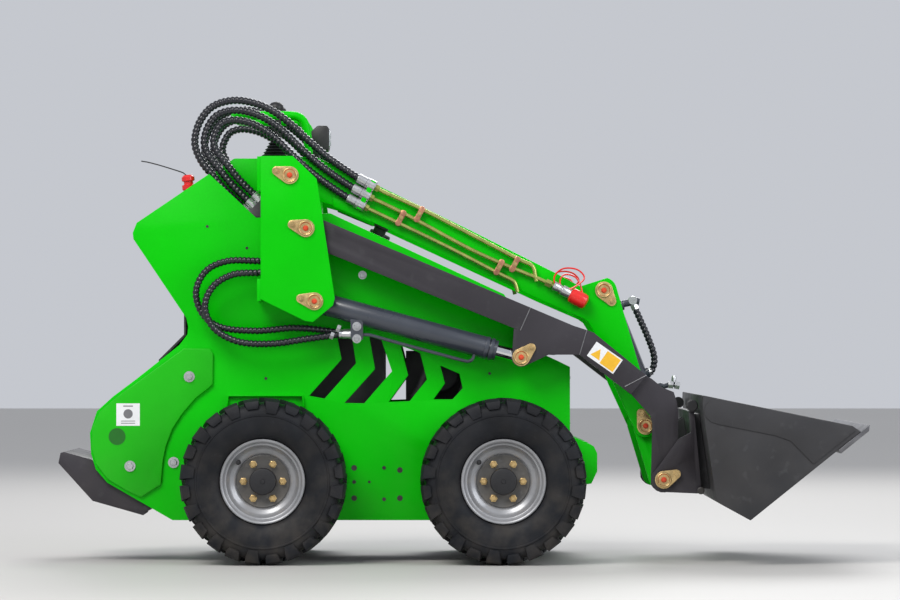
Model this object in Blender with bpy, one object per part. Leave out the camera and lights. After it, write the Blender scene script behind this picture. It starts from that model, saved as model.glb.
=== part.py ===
"""Compact stand-on skid steer loader with a parallelogram loader arm and a curled bucket.

Units are metres.  +X is forward (towards the bucket), +Y is left, +Z is up.
The origin is on the ground under the middle of the machine's length and width.
Side outlines are (x, z) points in the machine's own side plane.
"""
import bmesh
import bpy
from math import atan2, cos, hypot, pi, radians, sin
from mathutils import Matrix, Vector

# ---- clearances ------------------------------------------------------------------------------
SEAT_GAP = 0.0003        # between two pieces that rest on each other
PIN_GAP = 0.0008         # radial, between a pin and its bore
ROD_GAP = 0.0007         # radial, between a cylinder rod and its gland

# ---- overall ---------------------------------------------------------------------------------
REAR_END_X = -1.114      # rear tip of the foot platform
FRONT_END_X = 1.114      # tip of the cutting edge

# ---- wheels ----------------------------------------------------------------------------------
TYRE_R = 0.228
WHEELBASE = 0.657
REAR_AXLE_X = -0.537
TYRE_IN_Y, TYRE_OUT_Y = 0.270, 0.480
TYRE_SIDES = 32
RIM_HALF = 0.087
RIM_FLANGE_R = 0.1165
RIM_SEAT_R = 0.1015
HUB_R = 0.036
HUB_BORE_R = 0.024
MOTOR_R = 0.058
SPINDLE_R = 0.022
SPINDLE_END = 0.169         # from the side plate to the spindle's tip

# ---- chassis ---------------------------------------------------------------------------------
PLATE_IN_Y, PLATE_OUT_Y = 0.242, 0.250     # side plates
SHELL_T = 0.006                            # wrapper sheet
BELLY_Z = 0.115
NOSE_X = 0.307
COVER_T = 0.0095
CONSOLE_TOP_Z = 1.122
CONSOLE_HALF = 0.186
CONSOLE_FRONT_X = -0.392
PLATFORM_HALF = 0.236
PLATFORM_T = 0.005
NOSE_T = 0.008

# ---- loader linkage: A, B on the tower, C, D on the coupler link, E, F tilt cylinder, L, R lift
B = (-0.423, 0.922)
D = (0.562, 0.230)
LINK = (0.044, -0.146)                     # from A to B and from C to D
A = (B[0] - LINK[0], B[1] - LINK[1])
C = (D[0] - LINK[0], D[1] - LINK[1])
E = (0.402, 0.753)
F = (0.567, 0.331)
L = (-0.399, 0.721)
R = (0.170, 0.567)
PIN_R = 0.016
TILT_PIN_R = 0.0125

TOWER_IN_Y, TOWER_OUT_Y = 0.346, 0.356
TOWER_TOP_Z = 1.121
TOWER_REAR_X = -0.547
TOWER_LEG_Y = 0.190                        # inner leg, inboard of the upper arm
TOWER_LEG_T = 0.010
LOWER_IN_Y, LOWER_OUT_Y = 0.268, 0.338     # lower arm tube
NOSE_PLATE_IN_Y, NOSE_PLATE_OUT_Y = 0.305, 0.325
UPPER_IN_Y, UPPER_OUT_Y = 0.213, 0.225     # upper arm plate
LINK_IN_Y, LINK_OUT_Y = 0.197, 0.207
HITCH_IN_Y, HITCH_OUT_Y = 0.330, 0.342
CROSS_TUBE_R = 0.034
CROSS_TUBE = (0.262, 0.607)
UPPER_CROSS_R = 0.028
UPPER_CROSS = (0.335, 0.734)

# ---- cylinders -------------------------------------------------------------------------------
LIFT_Y = 0.303
LIFT_BARREL_R, LIFT_ROD_R = 0.031, 0.0175
LIFT_GLAND_S = 0.520                       # gland's distance from L
LIFT_ROD_FROM_S = 0.215
TILT_BARREL_R, TILT_ROD_R = 0.038, 0.015
TILT_GLAND_S = 0.330
TILT_ROD_FROM_S = 0.120
LIFT_EYE_HALF = 0.018
TILT_EYE_HALF = 0.028
SHAFT_NECK_R = 0.0105                      # of the shaft at D where the tilt rod's eye passes it
TILT_LUG_Y = TILT_BARREL_R + 0.006          # inner face of the lugs at E and F
EYE_R = 0.029
LUG_T = 0.012

# ---- bucket ----------------------------------------------------------------------------------
BUCKET_HALF = 0.500
BUCKET_T = 0.008
EDGE_T = 0.012
EDGE_W = 0.110

FACE_T = 0.014                             # coupling faces of the hitch and the bucket
HEEL = (0.790, 0.124)                      # back corner of the bucket's floor
FLOOR_DEG = 38.75                          # floor's rise towards its edge

# ---- hydraulic lines -------------------------------------------------------------------------
HOSE_R = 0.010
TOP_HOSE_R = 0.011                         # the arched hoses
HOOD_BLOCK = (-0.600, 0.955)               # lower rear corner of the wedge on the hood
HOOD_BLOCK_REACH = 0.0552
HOOD_BLOCK_RISE = 0.002                    # lift of the wedge's sloping face off that corner
HOOD_FIRST_LINE = 0.016                    # from the face's lower end to the first hose
HOOD_BLOCK_IN_Y, HOOD_BLOCK_OUT_Y = 0.2125, 0.2415
HOOD_LINE_Y = 0.227
HOOD_LINE_PITCH = 0.0245
ARCH = [(-0.3095, 1.0834), (-0.3714, 1.1270), (-0.4292, 1.1779), (-0.4600, 1.2075),
        (-0.505, 1.243), (-0.560, 1.2705), (-0.625, 1.2815), (-0.685, 1.265), (-0.722, 1.222),
        (-0.736, 1.165), (-0.7186, 1.1140), (-0.684, 1.0700), (-0.6470, 1.0266)]
LINE_END = (-0.2500, 1.0480)               # where the first arched hose reaches the upper arm
LINE_SLOPE = radians(-28)                  # the lines on the arm run down forward
LINE_BLOCK_T = 0.014
LINE_PITCH = 0.031
LINE_Y = 0.238
LIFT_PORT_REAR_X, LIFT_PORT_Z = -0.300, 0.634  # ports on the lift cylinder

DARK = (0.045, 0.045, 0.05)
GREEN = (0.0, 0.50, 0.02)
COVER_GREEN = (0.03, 0.42, 0.04)
BLACK = (0.02, 0.02, 0.02)
STEEL = (0.55, 0.56, 0.58)
SLATE = (0.05, 0.055, 0.07)


# ---- small tools -----------------------------------------------------------------------------
def material(name, colour, roughness=0.5, metallic=0.0):
    found = bpy.data.materials.get(name)
    if found:
        return found
    made = bpy.data.materials.new(name)
    made.use_nodes = True
    shader = made.node_tree.nodes["Principled BSDF"]
    shader.inputs["Base Color"].default_value = (*colour, 1.0)
    shader.inputs["Roughness"].default_value = roughness
    shader.inputs["Metallic"].default_value = metallic
    return made


def to_object(name, bm, origin=(0.0, 0.0, 0.0)):
    """Closes a bmesh into an object whose origin is at the given point."""
    bmesh.ops.recalc_face_normals(bm, faces=bm.faces)
    bmesh.ops.translate(bm, verts=bm.verts, vec=-Vector(origin))
    mesh = bpy.data.meshes.new(name)
    bm.to_mesh(mesh)
    bm.free()
    made = bpy.data.objects.new(name, mesh)
    made.location = origin
    bpy.context.scene.collection.objects.link(made)
    return made


def prism(name, outline, y0, y1):
    """An (x, z) outline extruded from y0 to y1."""
    bm = bmesh.new()
    face = bm.faces.new([bm.verts.new((x, y0, z)) for x, z in outline])
    out = bmesh.ops.extrude_face_region(bm, geom=[face])
    moved = [v for v in out["geom"] if isinstance(v, bmesh.types.BMVert)]
    bmesh.ops.translate(bm, verts=moved, vec=(0.0, y1 - y0, 0.0))
    return to_object(name, bm)


def box(name, x0, x1, y0, y1, z0, z1):
    return prism(name, [(x0, z0), (x1, z0), (x1, z1), (x0, z1)], y0, y1)


def drum(name, start, end, radius, sides=24):
    """A round bar from start to end."""
    start, end = Vector(start), Vector(end)
    bm = bmesh.new()
    bmesh.ops.create_cone(bm, cap_ends=True, segments=sides, radius1=radius, radius2=radius,
                          depth=(end - start).length)
    turn = Vector((0, 0, 1)).rotation_difference(end - start).to_matrix().to_4x4()
    bmesh.ops.transform(bm, verts=bm.verts, matrix=Matrix.Translation((start + end) / 2) @ turn)
    return to_object(name, bm)


def turned(name, profile, centre, axis, sides=32, closed_ring=False):
    """A (radius, height) profile turned about an axis ('Y' or 'Z') through centre.

    A flat side faces straight down, so that a turned wheel rests on a face.
    """
    bm = bmesh.new()
    rings = []
    for radius, height in profile:
        ring = []
        for k in range(sides if radius > 0 else 1):
            angle = 2 * pi * (k + 0.5) / sides
            across, up = radius * sin(angle), -radius * cos(angle)
            offset = (across, height, up) if axis == "Y" else (across, up, height)
            ring.append(bm.verts.new(Vector(centre) + Vector(offset)))
        rings.append(ring)
    pairs = list(zip(rings, rings[1:]))
    if closed_ring:
        pairs.append((rings[-1], rings[0]))
    for low, high in pairs:
        for k in range(sides):
            n = (k + 1) % sides
            if len(low) == 1:
                bm.faces.new((low[0], high[n], high[k]))
            elif len(high) == 1:
                bm.faces.new((low[k], low[n], high[0]))
            else:
                bm.faces.new((low[k], low[n], high[n], high[k]))
    return to_object(name, bm, centre)


def baked(obj):
    """Replaces an object's mesh by what its modifiers make of it."""
    graph = bpy.context.evaluated_depsgraph_get()
    mesh = bpy.data.meshes.new_from_object(obj.evaluated_get(graph))
    obj.modifiers.clear()
    obj.data = mesh
    return obj


def combine(base, others, operation):
    """Joins the others to the base, or cuts them from it, one after another."""
    for other in others:
        step = base.modifiers.new(operation.lower(), "BOOLEAN")
        step.operation = operation
        step.solver = "EXACT"
        step.object = other
        baked(base)
        bpy.data.objects.remove(other)
    return base


def join(base, *others):
    return combine(base, others, "UNION")


def cut(base, *others):
    return combine(base, others, "DIFFERENCE")


def finish(obj, mat, smooth_deg=0.0):
    obj.data.materials.clear()
    obj.data.materials.append(mat)
    if smooth_deg:
        obj.data.shade_smooth()
        obj.data.set_sharp_from_angle(angle=radians(smooth_deg))
    return obj


def arc(centre, radius, start_deg, end_deg, steps=8):
    """Points on a round stretch of an outline, from one angle to the other."""
    turn = [radians(start_deg + (end_deg - start_deg) * k / steps) for k in range(steps + 1)]
    return [(centre[0] + radius * cos(t), centre[1] + radius * sin(t)) for t in turn]


def inset(outline, wall):
    """A closed counter-clockwise outline moved inwards by a wall's thickness."""
    moved = []
    count = len(outline)
    for k in range(count):
        p, q, r = (Vector(outline[(k + n) % count]) for n in (-1, 0, 1))
        first, second = (q - p).normalized(), (r - q).normalized()
        n1, n2 = Vector((-first.y, first.x)), Vector((-second.y, second.x))
        mitre = (n1 + n2).normalized()
        moved.append(tuple(q + mitre * (wall / max(mitre.dot(n1), 0.3))))
    return moved


def bent_plate(name, path, thickness, y0, y1):
    """A sheet of the given thickness folded along an (x, z) path, on the path's left."""
    far = []
    for k, point in enumerate(path):
        q = Vector(point)
        before = (q - Vector(path[k - 1])).normalized() if k else None
        after = (Vector(path[k + 1]) - q).normalized() if k + 1 < len(path) else None
        sides = [Vector((-d.y, d.x)) for d in (before, after) if d]
        mitre = sum(sides, Vector((0.0, 0.0))).normalized()
        far.append(tuple(q + mitre * (thickness / mitre.dot(sides[0]))))
    return prism(name, list(path) + far[::-1], y0, y1)


def along(start, end, distance):
    """The point at a distance from start towards end, in the side plane."""
    length = hypot(end[0] - start[0], end[1] - start[1])
    return tuple(start[n] + (end[n] - start[n]) * distance / length for n in (0, 1))


def at_y(point, y):
    return (point[0], y, point[1])


def pin(name, point, radius, y0, y1, sides=20):
    return drum(name, at_y(point, y0), at_y(point, y1), radius, sides)


def smooth_route(points, spacing):
    """Evenly spaced points on a smooth curve through a hose's route points.

    The first and last stretches stay straight, square to the faces that they meet.
    """
    route = [Vector(p) for p in points]
    fine = []
    for p0, p1, p2, p3 in zip(route, route[1:], route[2:], route[3:]):
        for k in range(20):
            t = k / 20
            fine.append(0.5 * (2 * p1 + (p2 - p0) * t + (2 * p0 - 5 * p1 + 4 * p2 - p3) * t ** 2
                               + (3 * p1 - p0 - 3 * p2 + p3) * t ** 3))
    fine.append(route[-2])
    reach = [0.0]
    for p, q in zip(fine, fine[1:]):
        reach.append(reach[-1] + (q - p).length)
    count = max(2, round(reach[-1] / spacing))
    even, k = [route[0]], 0
    for n in range(count + 1):
        goal = reach[-1] * n / count
        while k < len(fine) - 2 and reach[k + 1] < goal:
            k += 1
        even.append(fine[k].lerp(fine[k + 1], (goal - reach[k]) / (reach[k + 1] - reach[k])))
    return even + [route[-1]]


def hose(name, points, radius, mat, spacing=5.0, ring=2):
    """A flexible hose or bent tube along a route, with closed ends."""
    curve = bpy.data.curves.new(name, "CURVE")
    curve.dimensions = "3D"
    curve.bevel_depth = radius
    curve.bevel_resolution = ring
    curve.use_fill_caps = True
    spline = curve.splines.new("POLY")
    even = smooth_route(points, radius * spacing)
    spline.points.add(len(even) - 1)
    for target, source in zip(spline.points, even):
        target.co = (*source, 1.0)
    made = bpy.data.objects.new(name, curve)
    bpy.context.scene.collection.objects.link(made)
    curve.materials.append(mat)
    return made


# ---- chassis ---------------------------------------------------------------------------------
SIDE_OUTLINE = [
    (NOSE_X, BELLY_Z), (NOSE_X, 0.540), (0.275, 0.556), (0.227, 0.578), (0.124, 0.742),
    (-0.359, 0.967), (-0.564, 0.954), (-0.695, 1.076), (-0.896, 0.940), (-0.907, 0.912),
    (-0.905, 0.895), (-0.778, 0.705), (-0.758, 0.676), (-0.753, 0.652), (-0.755, 0.630),
    (-0.778, 0.600), (-0.897, 0.506), (-0.961, 0.458), (-1.006, 0.417), (-1.025, 0.357),
    (-1.022, 0.299), (-1.009, 0.256), (-0.977, 0.219), (-0.860, 0.152), (-0.796, BELLY_Z),
]
CHEVRONS = [
    [(-0.340, 0.629), (-0.298, 0.623), (-0.287, 0.550), (-0.374, 0.452), (-0.417, 0.460),
     (-0.327, 0.561)],
    [(-0.251, 0.630), (-0.217, 0.616), (-0.187, 0.528), (-0.264, 0.439), (-0.319, 0.440),
     (-0.234, 0.534)],
    [(-0.163, 0.599), (-0.109, 0.579), (-0.090, 0.505), (-0.138, 0.445), (-0.196, 0.443),
     (-0.142, 0.517)],
    [(-0.053, 0.544), (0.000, 0.521), (0.009, 0.481), (-0.019, 0.450), (-0.072, 0.450),
     (-0.040, 0.494)],
]
SHELL_OUTLINE = [
    (NOSE_X - 0.007, BELLY_Z + 0.005), (NOSE_X - 0.007, 0.535), (0.272, 0.549),
    (0.220, 0.573), (0.118, 0.735), (-0.361, 0.959), (-0.640, 0.959), (-0.700, 1.030),
    (-0.862, 0.915), (-0.870, 0.880), (-0.765, 0.700), (-0.765, 0.630), (-0.835, 0.560),
    (-0.835, 0.300), (-0.790, BELLY_Z + 0.005),
]
COVER_OUTLINE = [
    (-0.764, 0.592), (-0.955, 0.453), (-0.997, 0.416), (-1.017, 0.373), (-1.020, 0.320),
    (-1.008, 0.272), (-0.976, 0.230), (-0.923, 0.198), (-0.882, 0.179), (-0.827, 0.214),
    (-0.822, 0.278), (-0.814, 0.320), (-0.796, 0.368), (-0.769, 0.410), (-0.732, 0.453),
    (-0.695, 0.482), (-0.684, 0.492), (-0.683, 0.577), (-0.692, 0.591),
]


def side_plate(side, name):
    y0, y1 = side * PLATE_IN_Y, side * PLATE_OUT_Y
    plate = prism(name, SIDE_OUTLINE, y0, y1)
    slots = [prism("slot", c, y0 - side * 0.01, y1 + side * 0.01) for c in CHEVRONS]
    return finish(cut(plate, *slots), material(name, GREEN, 0.35))


def body_shell():
    """The folded wrapper between the side plates: hood, nose, belly and rear panel."""
    half = PLATE_IN_Y - SEAT_GAP
    shell = prism("body_shell", SHELL_OUTLINE, -half, half)
    hollow = prism("hollow", inset(SHELL_OUTLINE, SHELL_T), -half - 0.01, half + 0.01)
    shell = cut(shell, hollow)
    x, z = HOOD_BLOCK
    wedge = [(x, z), (x, z + HOOD_BLOCK_RISE),
             (x + HOOD_BLOCK_REACH, z + HOOD_BLOCK_RISE + HOOD_BLOCK_REACH),
             (x + HOOD_BLOCK_REACH, z)]
    for side in (-1, 1):
        shell = join(shell, prism("wedge", wedge, side * HOOD_BLOCK_IN_Y,
                                  side * HOOD_BLOCK_OUT_Y))
    return finish(shell, material("body_shell", BLACK, 0.55))


def engine_block():
    floor = BELLY_Z + 0.005 + SHELL_T + SEAT_GAP
    block = box("engine_block", -0.640, -0.210, -0.165, 0.165, floor, 0.800)
    return finish(block, material("engine_block", DARK, 0.6))


def rear_cover(side, name):
    y0 = side * (PLATE_OUT_Y + SEAT_GAP)
    cover = prism(name, COVER_OUTLINE, y0, y0 + side * COVER_T)
    return finish(cover, material(name, COVER_GREEN, 0.4))


def foot_platform():
    """A folded tread plate with side flanges, tipped up at the rear."""
    flange = [(-0.878, 0.128), (-0.865, 0.137), (-0.861, 0.150), (-1.022, 0.283),
              (-1.099, 0.304), (-1.108, 0.301), (REAR_END_X, 0.273), (-1.019, 0.168)]
    under = [(-0.8488, 0.050), (-0.8488, 0.1334), (-1.0252, 0.2791), (-1.101, 0.2985),
             (-1.150, 0.260), (-1.150, 0.050)]
    plate = prism("foot_platform", flange, -PLATFORM_HALF, PLATFORM_HALF)
    inner = PLATFORM_HALF - PLATFORM_T
    plate = cut(plate, prism("under", under, -inner, inner))
    half = PLATE_IN_Y - SEAT_GAP
    plate = join(plate, drum("hinge", (-0.867, -half, 0.150), (-0.867, half, 0.150), 0.010, 12))
    return finish(plate, material("foot_platform", DARK, 0.6))


def nose_step():
    """The bent plate that stands out in front of the belly, between the side plates."""
    back = NOSE_X - 0.007 + SEAT_GAP
    outline = [(back, 0.205), (0.367, 0.216), (0.383, 0.250), (0.383, 0.300), (0.374, 0.319),
               (0.352, 0.331), (back, 0.352)]
    plate = prism("nose_step", outline, -PLATFORM_HALF, PLATFORM_HALF)
    room = inset([(back - 0.05, 0.196)] + outline[1:-1] + [(back - 0.05, 0.374)], NOSE_T)
    end = PLATFORM_HALF - NOSE_T
    plate = cut(plate, prism("room", room, -end, end))
    return finish(plate, material("nose_step", GREEN, 0.35))


def console():
    outline = [(-0.634, 0.9595), (CONSOLE_FRONT_X, 0.9595), (CONSOLE_FRONT_X, CONSOLE_TOP_Z),
               (-0.629, CONSOLE_TOP_Z), (-0.684, 1.083), (-0.676, 1.010)]
    top = prism("console", outline, -CONSOLE_HALF, CONSOLE_HALF)
    return finish(top, material("console", GREEN, 0.35))


def handrail():
    z0 = CONSOLE_TOP_Z + SEAT_GAP
    y, top = 0.165, 1.243
    near = [(-0.422, y, z0), (-0.422, y, z0 + 0.030), (-0.430, y, top - 0.030),
            (-0.448, y, top - 0.005), (-0.480, y, top), (-0.540, y, top),
            (-0.595, y, top), (-0.616, y - 0.006, top), (-0.628, y - 0.030, top)]
    across = [(-0.630, y - 0.080, top), (-0.630, 0.0, top), (-0.630, 0.080 - y, top)]
    far = [(x, -side, z) for x, side, z in near[::-1]]
    return hose("handrail", near + across + far, 0.0125, material("handrail", GREEN, 0.35), 2.6)


def control_lever(side, name):
    """A ribbed boot with its stick and round knob, on the console."""
    profile = [(0.0, 0.0), (0.044, 0.0), (0.044, 0.010), (0.036, 0.016), (0.040, 0.024),
               (0.030, 0.032), (0.033, 0.040), (0.022, 0.048), (0.014, 0.060), (0.007, 0.064),
               (0.007, 0.124), (0.018, 0.132), (0.021, 0.146), (0.014, 0.160), (0.0, 0.164)]
    base = (-0.515, side * 0.100, CONSOLE_TOP_Z + SEAT_GAP)
    lever = turned(name, profile, base, "Z", 14)
    return finish(lever, material(name, BLACK, 0.6), 50)


def work_lamp():
    outline = [(-0.416, CONSOLE_TOP_Z + SEAT_GAP), (-0.396, CONSOLE_TOP_Z + SEAT_GAP),
               (-0.396, 1.150), (-0.372, 1.150), (-0.368, 1.156), (-0.368, 1.214),
               (-0.374, 1.221), (-0.400, 1.221), (-0.418, 1.205), (-0.418, 1.165)]
    lamp = prism("work_lamp", outline, -0.052, 0.052)
    return finish(lamp, material("work_lamp", BLACK, 0.5))


def tower(side, name):
    """Outer plate, rear tabs, inner leg and the three pivot pins of one side."""
    plate = prism(name, [
        (TOWER_REAR_X, TOWER_TOP_Z), (TOWER_REAR_X, 0.727), (-0.425, 0.667),
        (-0.403, 0.664), (-0.348, 0.710), (-0.343, 0.730), (-0.393, 1.058),
        (-0.459, TOWER_TOP_Z)], side * TOWER_IN_Y, side * TOWER_OUT_Y)
    rear = TOWER_REAR_X - 0.010
    tab_y = side * (TOWER_IN_Y + 0.006)
    foot = box("foot", rear, TOWER_REAR_X + 0.001, side * (PLATE_OUT_Y + SEAT_GAP), tab_y,
               0.722, 0.783)
    head = box("head", rear, TOWER_REAR_X + 0.001, side * TOWER_LEG_Y, tab_y, 1.026,
               TOWER_TOP_Z - 0.001)
    leg = prism("leg", [
        (rear + 0.001, 0.9675), (-0.410, 0.9675), (-0.400, 1.020), (-0.440, TOWER_TOP_Z - 0.002),
        (rear + 0.001, TOWER_TOP_Z - 0.002)],
        side * TOWER_LEG_Y, side * (TOWER_LEG_Y + TOWER_LEG_T))
    inner = side * (PLATE_OUT_Y + SEAT_GAP)
    pins = [
        pin("pin", A, PIN_R, side * (TOWER_LEG_Y + 0.002), tab_y),
        pin("pin", B, PIN_R, inner, tab_y),
        pin("pin", L, PIN_R, inner, tab_y),
    ]
    return finish(join(plate, foot, head, leg, *pins), material(name, GREEN, 0.3))


def wheel_motor(side, x, name):
    y = side * (PLATE_OUT_Y + SEAT_GAP)
    profile = [(0.0, 0.0), (0.075, 0.0), (0.075, 0.012), (MOTOR_R, 0.016), (MOTOR_R, 0.060),
               (SPINDLE_R, 0.064), (SPINDLE_R, SPINDLE_END), (0.0, SPINDLE_END)]
    motor = turned(name, [(r, side * h) for r, h in profile], (x, y, TYRE_R), "Y", 16)
    return finish(motor, material(name, DARK, 0.6), 40)


def lift_hoses(side, tag):
    """Two wrapped hoses of one side, from the side plate round to the lift cylinder."""
    mat = material("lift_hose" + tag, BLACK, 0.7)
    start_y = PLATE_OUT_Y + SEAT_GAP
    upper = [(-0.470, start_y, 0.833), (-0.470, 0.268, 0.833), (-0.490, 0.295, 0.833),
             (-0.555, 0.300, 0.833), (-0.640, 0.298, 0.833), (-0.700, 0.296, 0.806),
             (-0.728, 0.294, 0.750), (-0.712, 0.292, 0.690), (-0.660, 0.292, 0.650),
             (-0.560, 0.292, 0.640), (-0.460, 0.292, 0.648), (-0.380, 0.292, 0.642),
             (LIFT_PORT_REAR_X - 0.026, 0.292, LIFT_PORT_Z),
             (LIFT_PORT_REAR_X - SEAT_GAP, 0.292, LIFT_PORT_Z)]
    lower = [(-0.470, start_y, 0.800), (-0.470, 0.270, 0.800), (-0.492, 0.302, 0.800),
             (-0.555, 0.316, 0.800), (-0.625, 0.318, 0.795), (-0.680, 0.318, 0.762),
             (-0.702, 0.318, 0.705), (-0.676, 0.316, 0.646), (-0.610, 0.316, 0.610),
             (-0.520, 0.316, 0.604), (-0.430, 0.316, 0.616),
             (LIFT_PORT_REAR_X - 0.030, 0.316, LIFT_PORT_Z - 0.004),
             (LIFT_PORT_REAR_X - SEAT_GAP, 0.316, LIFT_PORT_Z - 0.004)]
    for number, route in (("_1", upper), ("_2", lower)):
        hose("lift_hose" + tag + number, [(x, side * y, z) for x, y, z in route], HOSE_R, mat)


def line_axes():
    """Side-view directions along the upper arm's lines and square to them."""
    return (Vector((cos(LINE_SLOPE), sin(LINE_SLOPE))),
            Vector((-sin(LINE_SLOPE), cos(LINE_SLOPE))))


def arch_hoses(side, tag):
    """Three nested hoses of one side, from the upper arm's lines over to the hood's wedge."""
    mat = material("arch_hose" + tag, BLACK, 0.7)
    diagonal = Vector((-1.0, 1.0)).normalized()
    across = Vector((1.0, 1.0)).normalized()
    low_end = Vector((HOOD_BLOCK[0], HOOD_BLOCK[1] + HOOD_BLOCK_RISE))
    face = low_end + across * HOOD_FIRST_LINE
    base = [Vector(LINE_END)] + [Vector(p) for p in ARCH] + [face]
    down, up = line_axes()
    for k in range(3):
        start = Vector(LINE_END) - up * LINE_PITCH * k
        route = []
        for reach in (SEAT_GAP, 0.026):
            point = start - down * reach
            route.append((point.x, LINE_Y, point.y))
        for n in range(1, len(base) - 1):
            ahead = (base[n + 1] - base[n - 1]).normalized()
            share = (n - 1) / (len(ARCH) - 1)
            inward = Vector((-ahead.y, ahead.x)) * k
            point = base[n] + inward * (LINE_PITCH + (HOOD_LINE_PITCH - LINE_PITCH) * share)
            y = LINE_Y + (HOOD_LINE_Y - LINE_Y) * min(1.0, max(0.0, 2.4 * share - 0.8))
            route.append((point.x, y, point.y))
        for reach in (0.028, SEAT_GAP):
            point = face + across * HOOD_LINE_PITCH * k + diagonal * reach
            route.append((point.x, HOOD_LINE_Y, point.y))
        name = "arch_hose" + tag + "_" + str(k + 1)
        hose(name, [(x, side * y, z) for x, y, z in route], TOP_HOSE_R, mat)


# ---- wheels ----------------------------------------------------------------------------------
def tyre(side, x, name):
    """Crown, shoulders, sidewalls and the beads that sit inside the rim's flanges."""
    mid = (TYRE_IN_Y + TYRE_OUT_Y) / 2
    half = (TYRE_OUT_Y - TYRE_IN_Y) / 2
    apothem = cos(pi / TYRE_SIDES)
    bead = RIM_SEAT_R + 0.0005
    outer = [(bead, RIM_HALF - 0.0190), (RIM_FLANGE_R + 0.0007, RIM_HALF - 0.0107),
             (0.140, half - 0.006), (0.175, half), (TYRE_R - 0.020, half - 0.006),
             (TYRE_R, half - 0.030)]
    upper = [(r / apothem, h) for r, h in outer]
    profile = upper + [(r, -h) for r, h in upper[::-1]]
    body = turned(name, profile, (x, side * mid, TYRE_R), "Y", TYRE_SIDES, closed_ring=True)
    return finish(body, material(name, BLACK, 0.85), 40)


def rim(side, x, name):
    """Barrel, dished disc and hub of one wheel, open to the inside for its motor."""
    mid = (TYRE_IN_Y + TYRE_OUT_Y) / 2
    face = 0.050                     # disc's outer face from the wheel's middle
    seat = RIM_SEAT_R - 0.0005
    profile = [
        (0.0, face + 0.024), (HUB_R, face + 0.020), (HUB_R, face), (0.078, face),
        (0.096, RIM_HALF - 0.010), (RIM_FLANGE_R - 0.006, RIM_HALF),
        (RIM_FLANGE_R, RIM_HALF), (RIM_FLANGE_R - 0.001, RIM_HALF - 0.010),
        (seat, RIM_HALF - 0.019), (seat, 0.034), (0.086, 0.020), (0.086, -0.030),
        (seat, -0.044), (seat, -RIM_HALF + 0.019), (RIM_FLANGE_R, -RIM_HALF + 0.010),
        (RIM_FLANGE_R, -RIM_HALF), (0.092, -0.056), (0.079, -0.030), (0.079, face - 0.012),
        (HUB_BORE_R, face - 0.012), (HUB_BORE_R, face - 0.005), (0.0, face - 0.005)]
    wheel = turned(name, [(r, side * h) for r, h in profile], (x, side * mid, TYRE_R), "Y", 20)
    return finish(wheel, material(name, STEEL, 0.4, 0.6), 35)


# ---- loader arm ------------------------------------------------------------------------------
def bore(point, radius, y0, y1):
    return pin("bore", point, radius, y0, y1, 24)


def lower_arm(side, name):
    """Box tube from B, elbow with the lift rod's ears, front tube and nose plate at D."""
    y0, y1 = side * LOWER_IN_Y, side * LOWER_OUT_Y
    tube = prism(name, arc(B, 0.040, 68, 248, 8) + [
        (0.168, 0.640), (0.215, 0.574), (0.331, 0.574), (0.473, 0.465), (0.515, 0.517),
        (0.370, 0.635), (0.351, 0.642), (0.314, 0.654), (0.191, 0.708)], y0, y1)
    ear_outline = arc(R, 0.026, 195, 300, 5) + [(0.250, 0.576), (0.240, 0.620), (0.150, 0.646)]
    ears = []
    for near, far in ((LOWER_IN_Y, LOWER_IN_Y + LUG_T), (LOWER_OUT_Y - LUG_T, LOWER_OUT_Y)):
        ears.append(prism("ear", ear_outline, side * near, side * far))
    relief = prism("relief", [(0.120, 0.630), (0.165, 0.6395), (0.232, 0.6120), (0.232, 0.5700),
                              (0.120, 0.5300)],
                   side * (LOWER_IN_Y + LUG_T), side * (LOWER_OUT_Y - LUG_T))
    nose = prism("nose", arc(D, 0.036, 200, 355, 8) + [
        (0.603, 0.347), (0.603, 0.416), (0.600, 0.442), (0.591, 0.471), (0.559, 0.484),
        (0.530, 0.508), (0.490, 0.530), (0.455, 0.486), (0.527, 0.405), (0.532, 0.384)],
        side * NOSE_PLATE_IN_Y, side * NOSE_PLATE_OUT_Y)
    arm = cut(tube, relief)
    arm = join(arm, nose, *ears)
    arm = cut(arm, bore(B, PIN_R + PIN_GAP, y0 - side * 0.01, y1 + side * 0.01),
              bore(D, PIN_R + PIN_GAP, y0, y1))
    return finish(arm, material(name, DARK, 0.5))


def lower_cross_tube():
    half = LOWER_IN_Y - SEAT_GAP
    tube = pin("lower_cross_tube", CROSS_TUBE, CROSS_TUBE_R, -half, half, 24)
    return finish(tube, material("lower_cross_tube", DARK, 0.5), 40)


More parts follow.
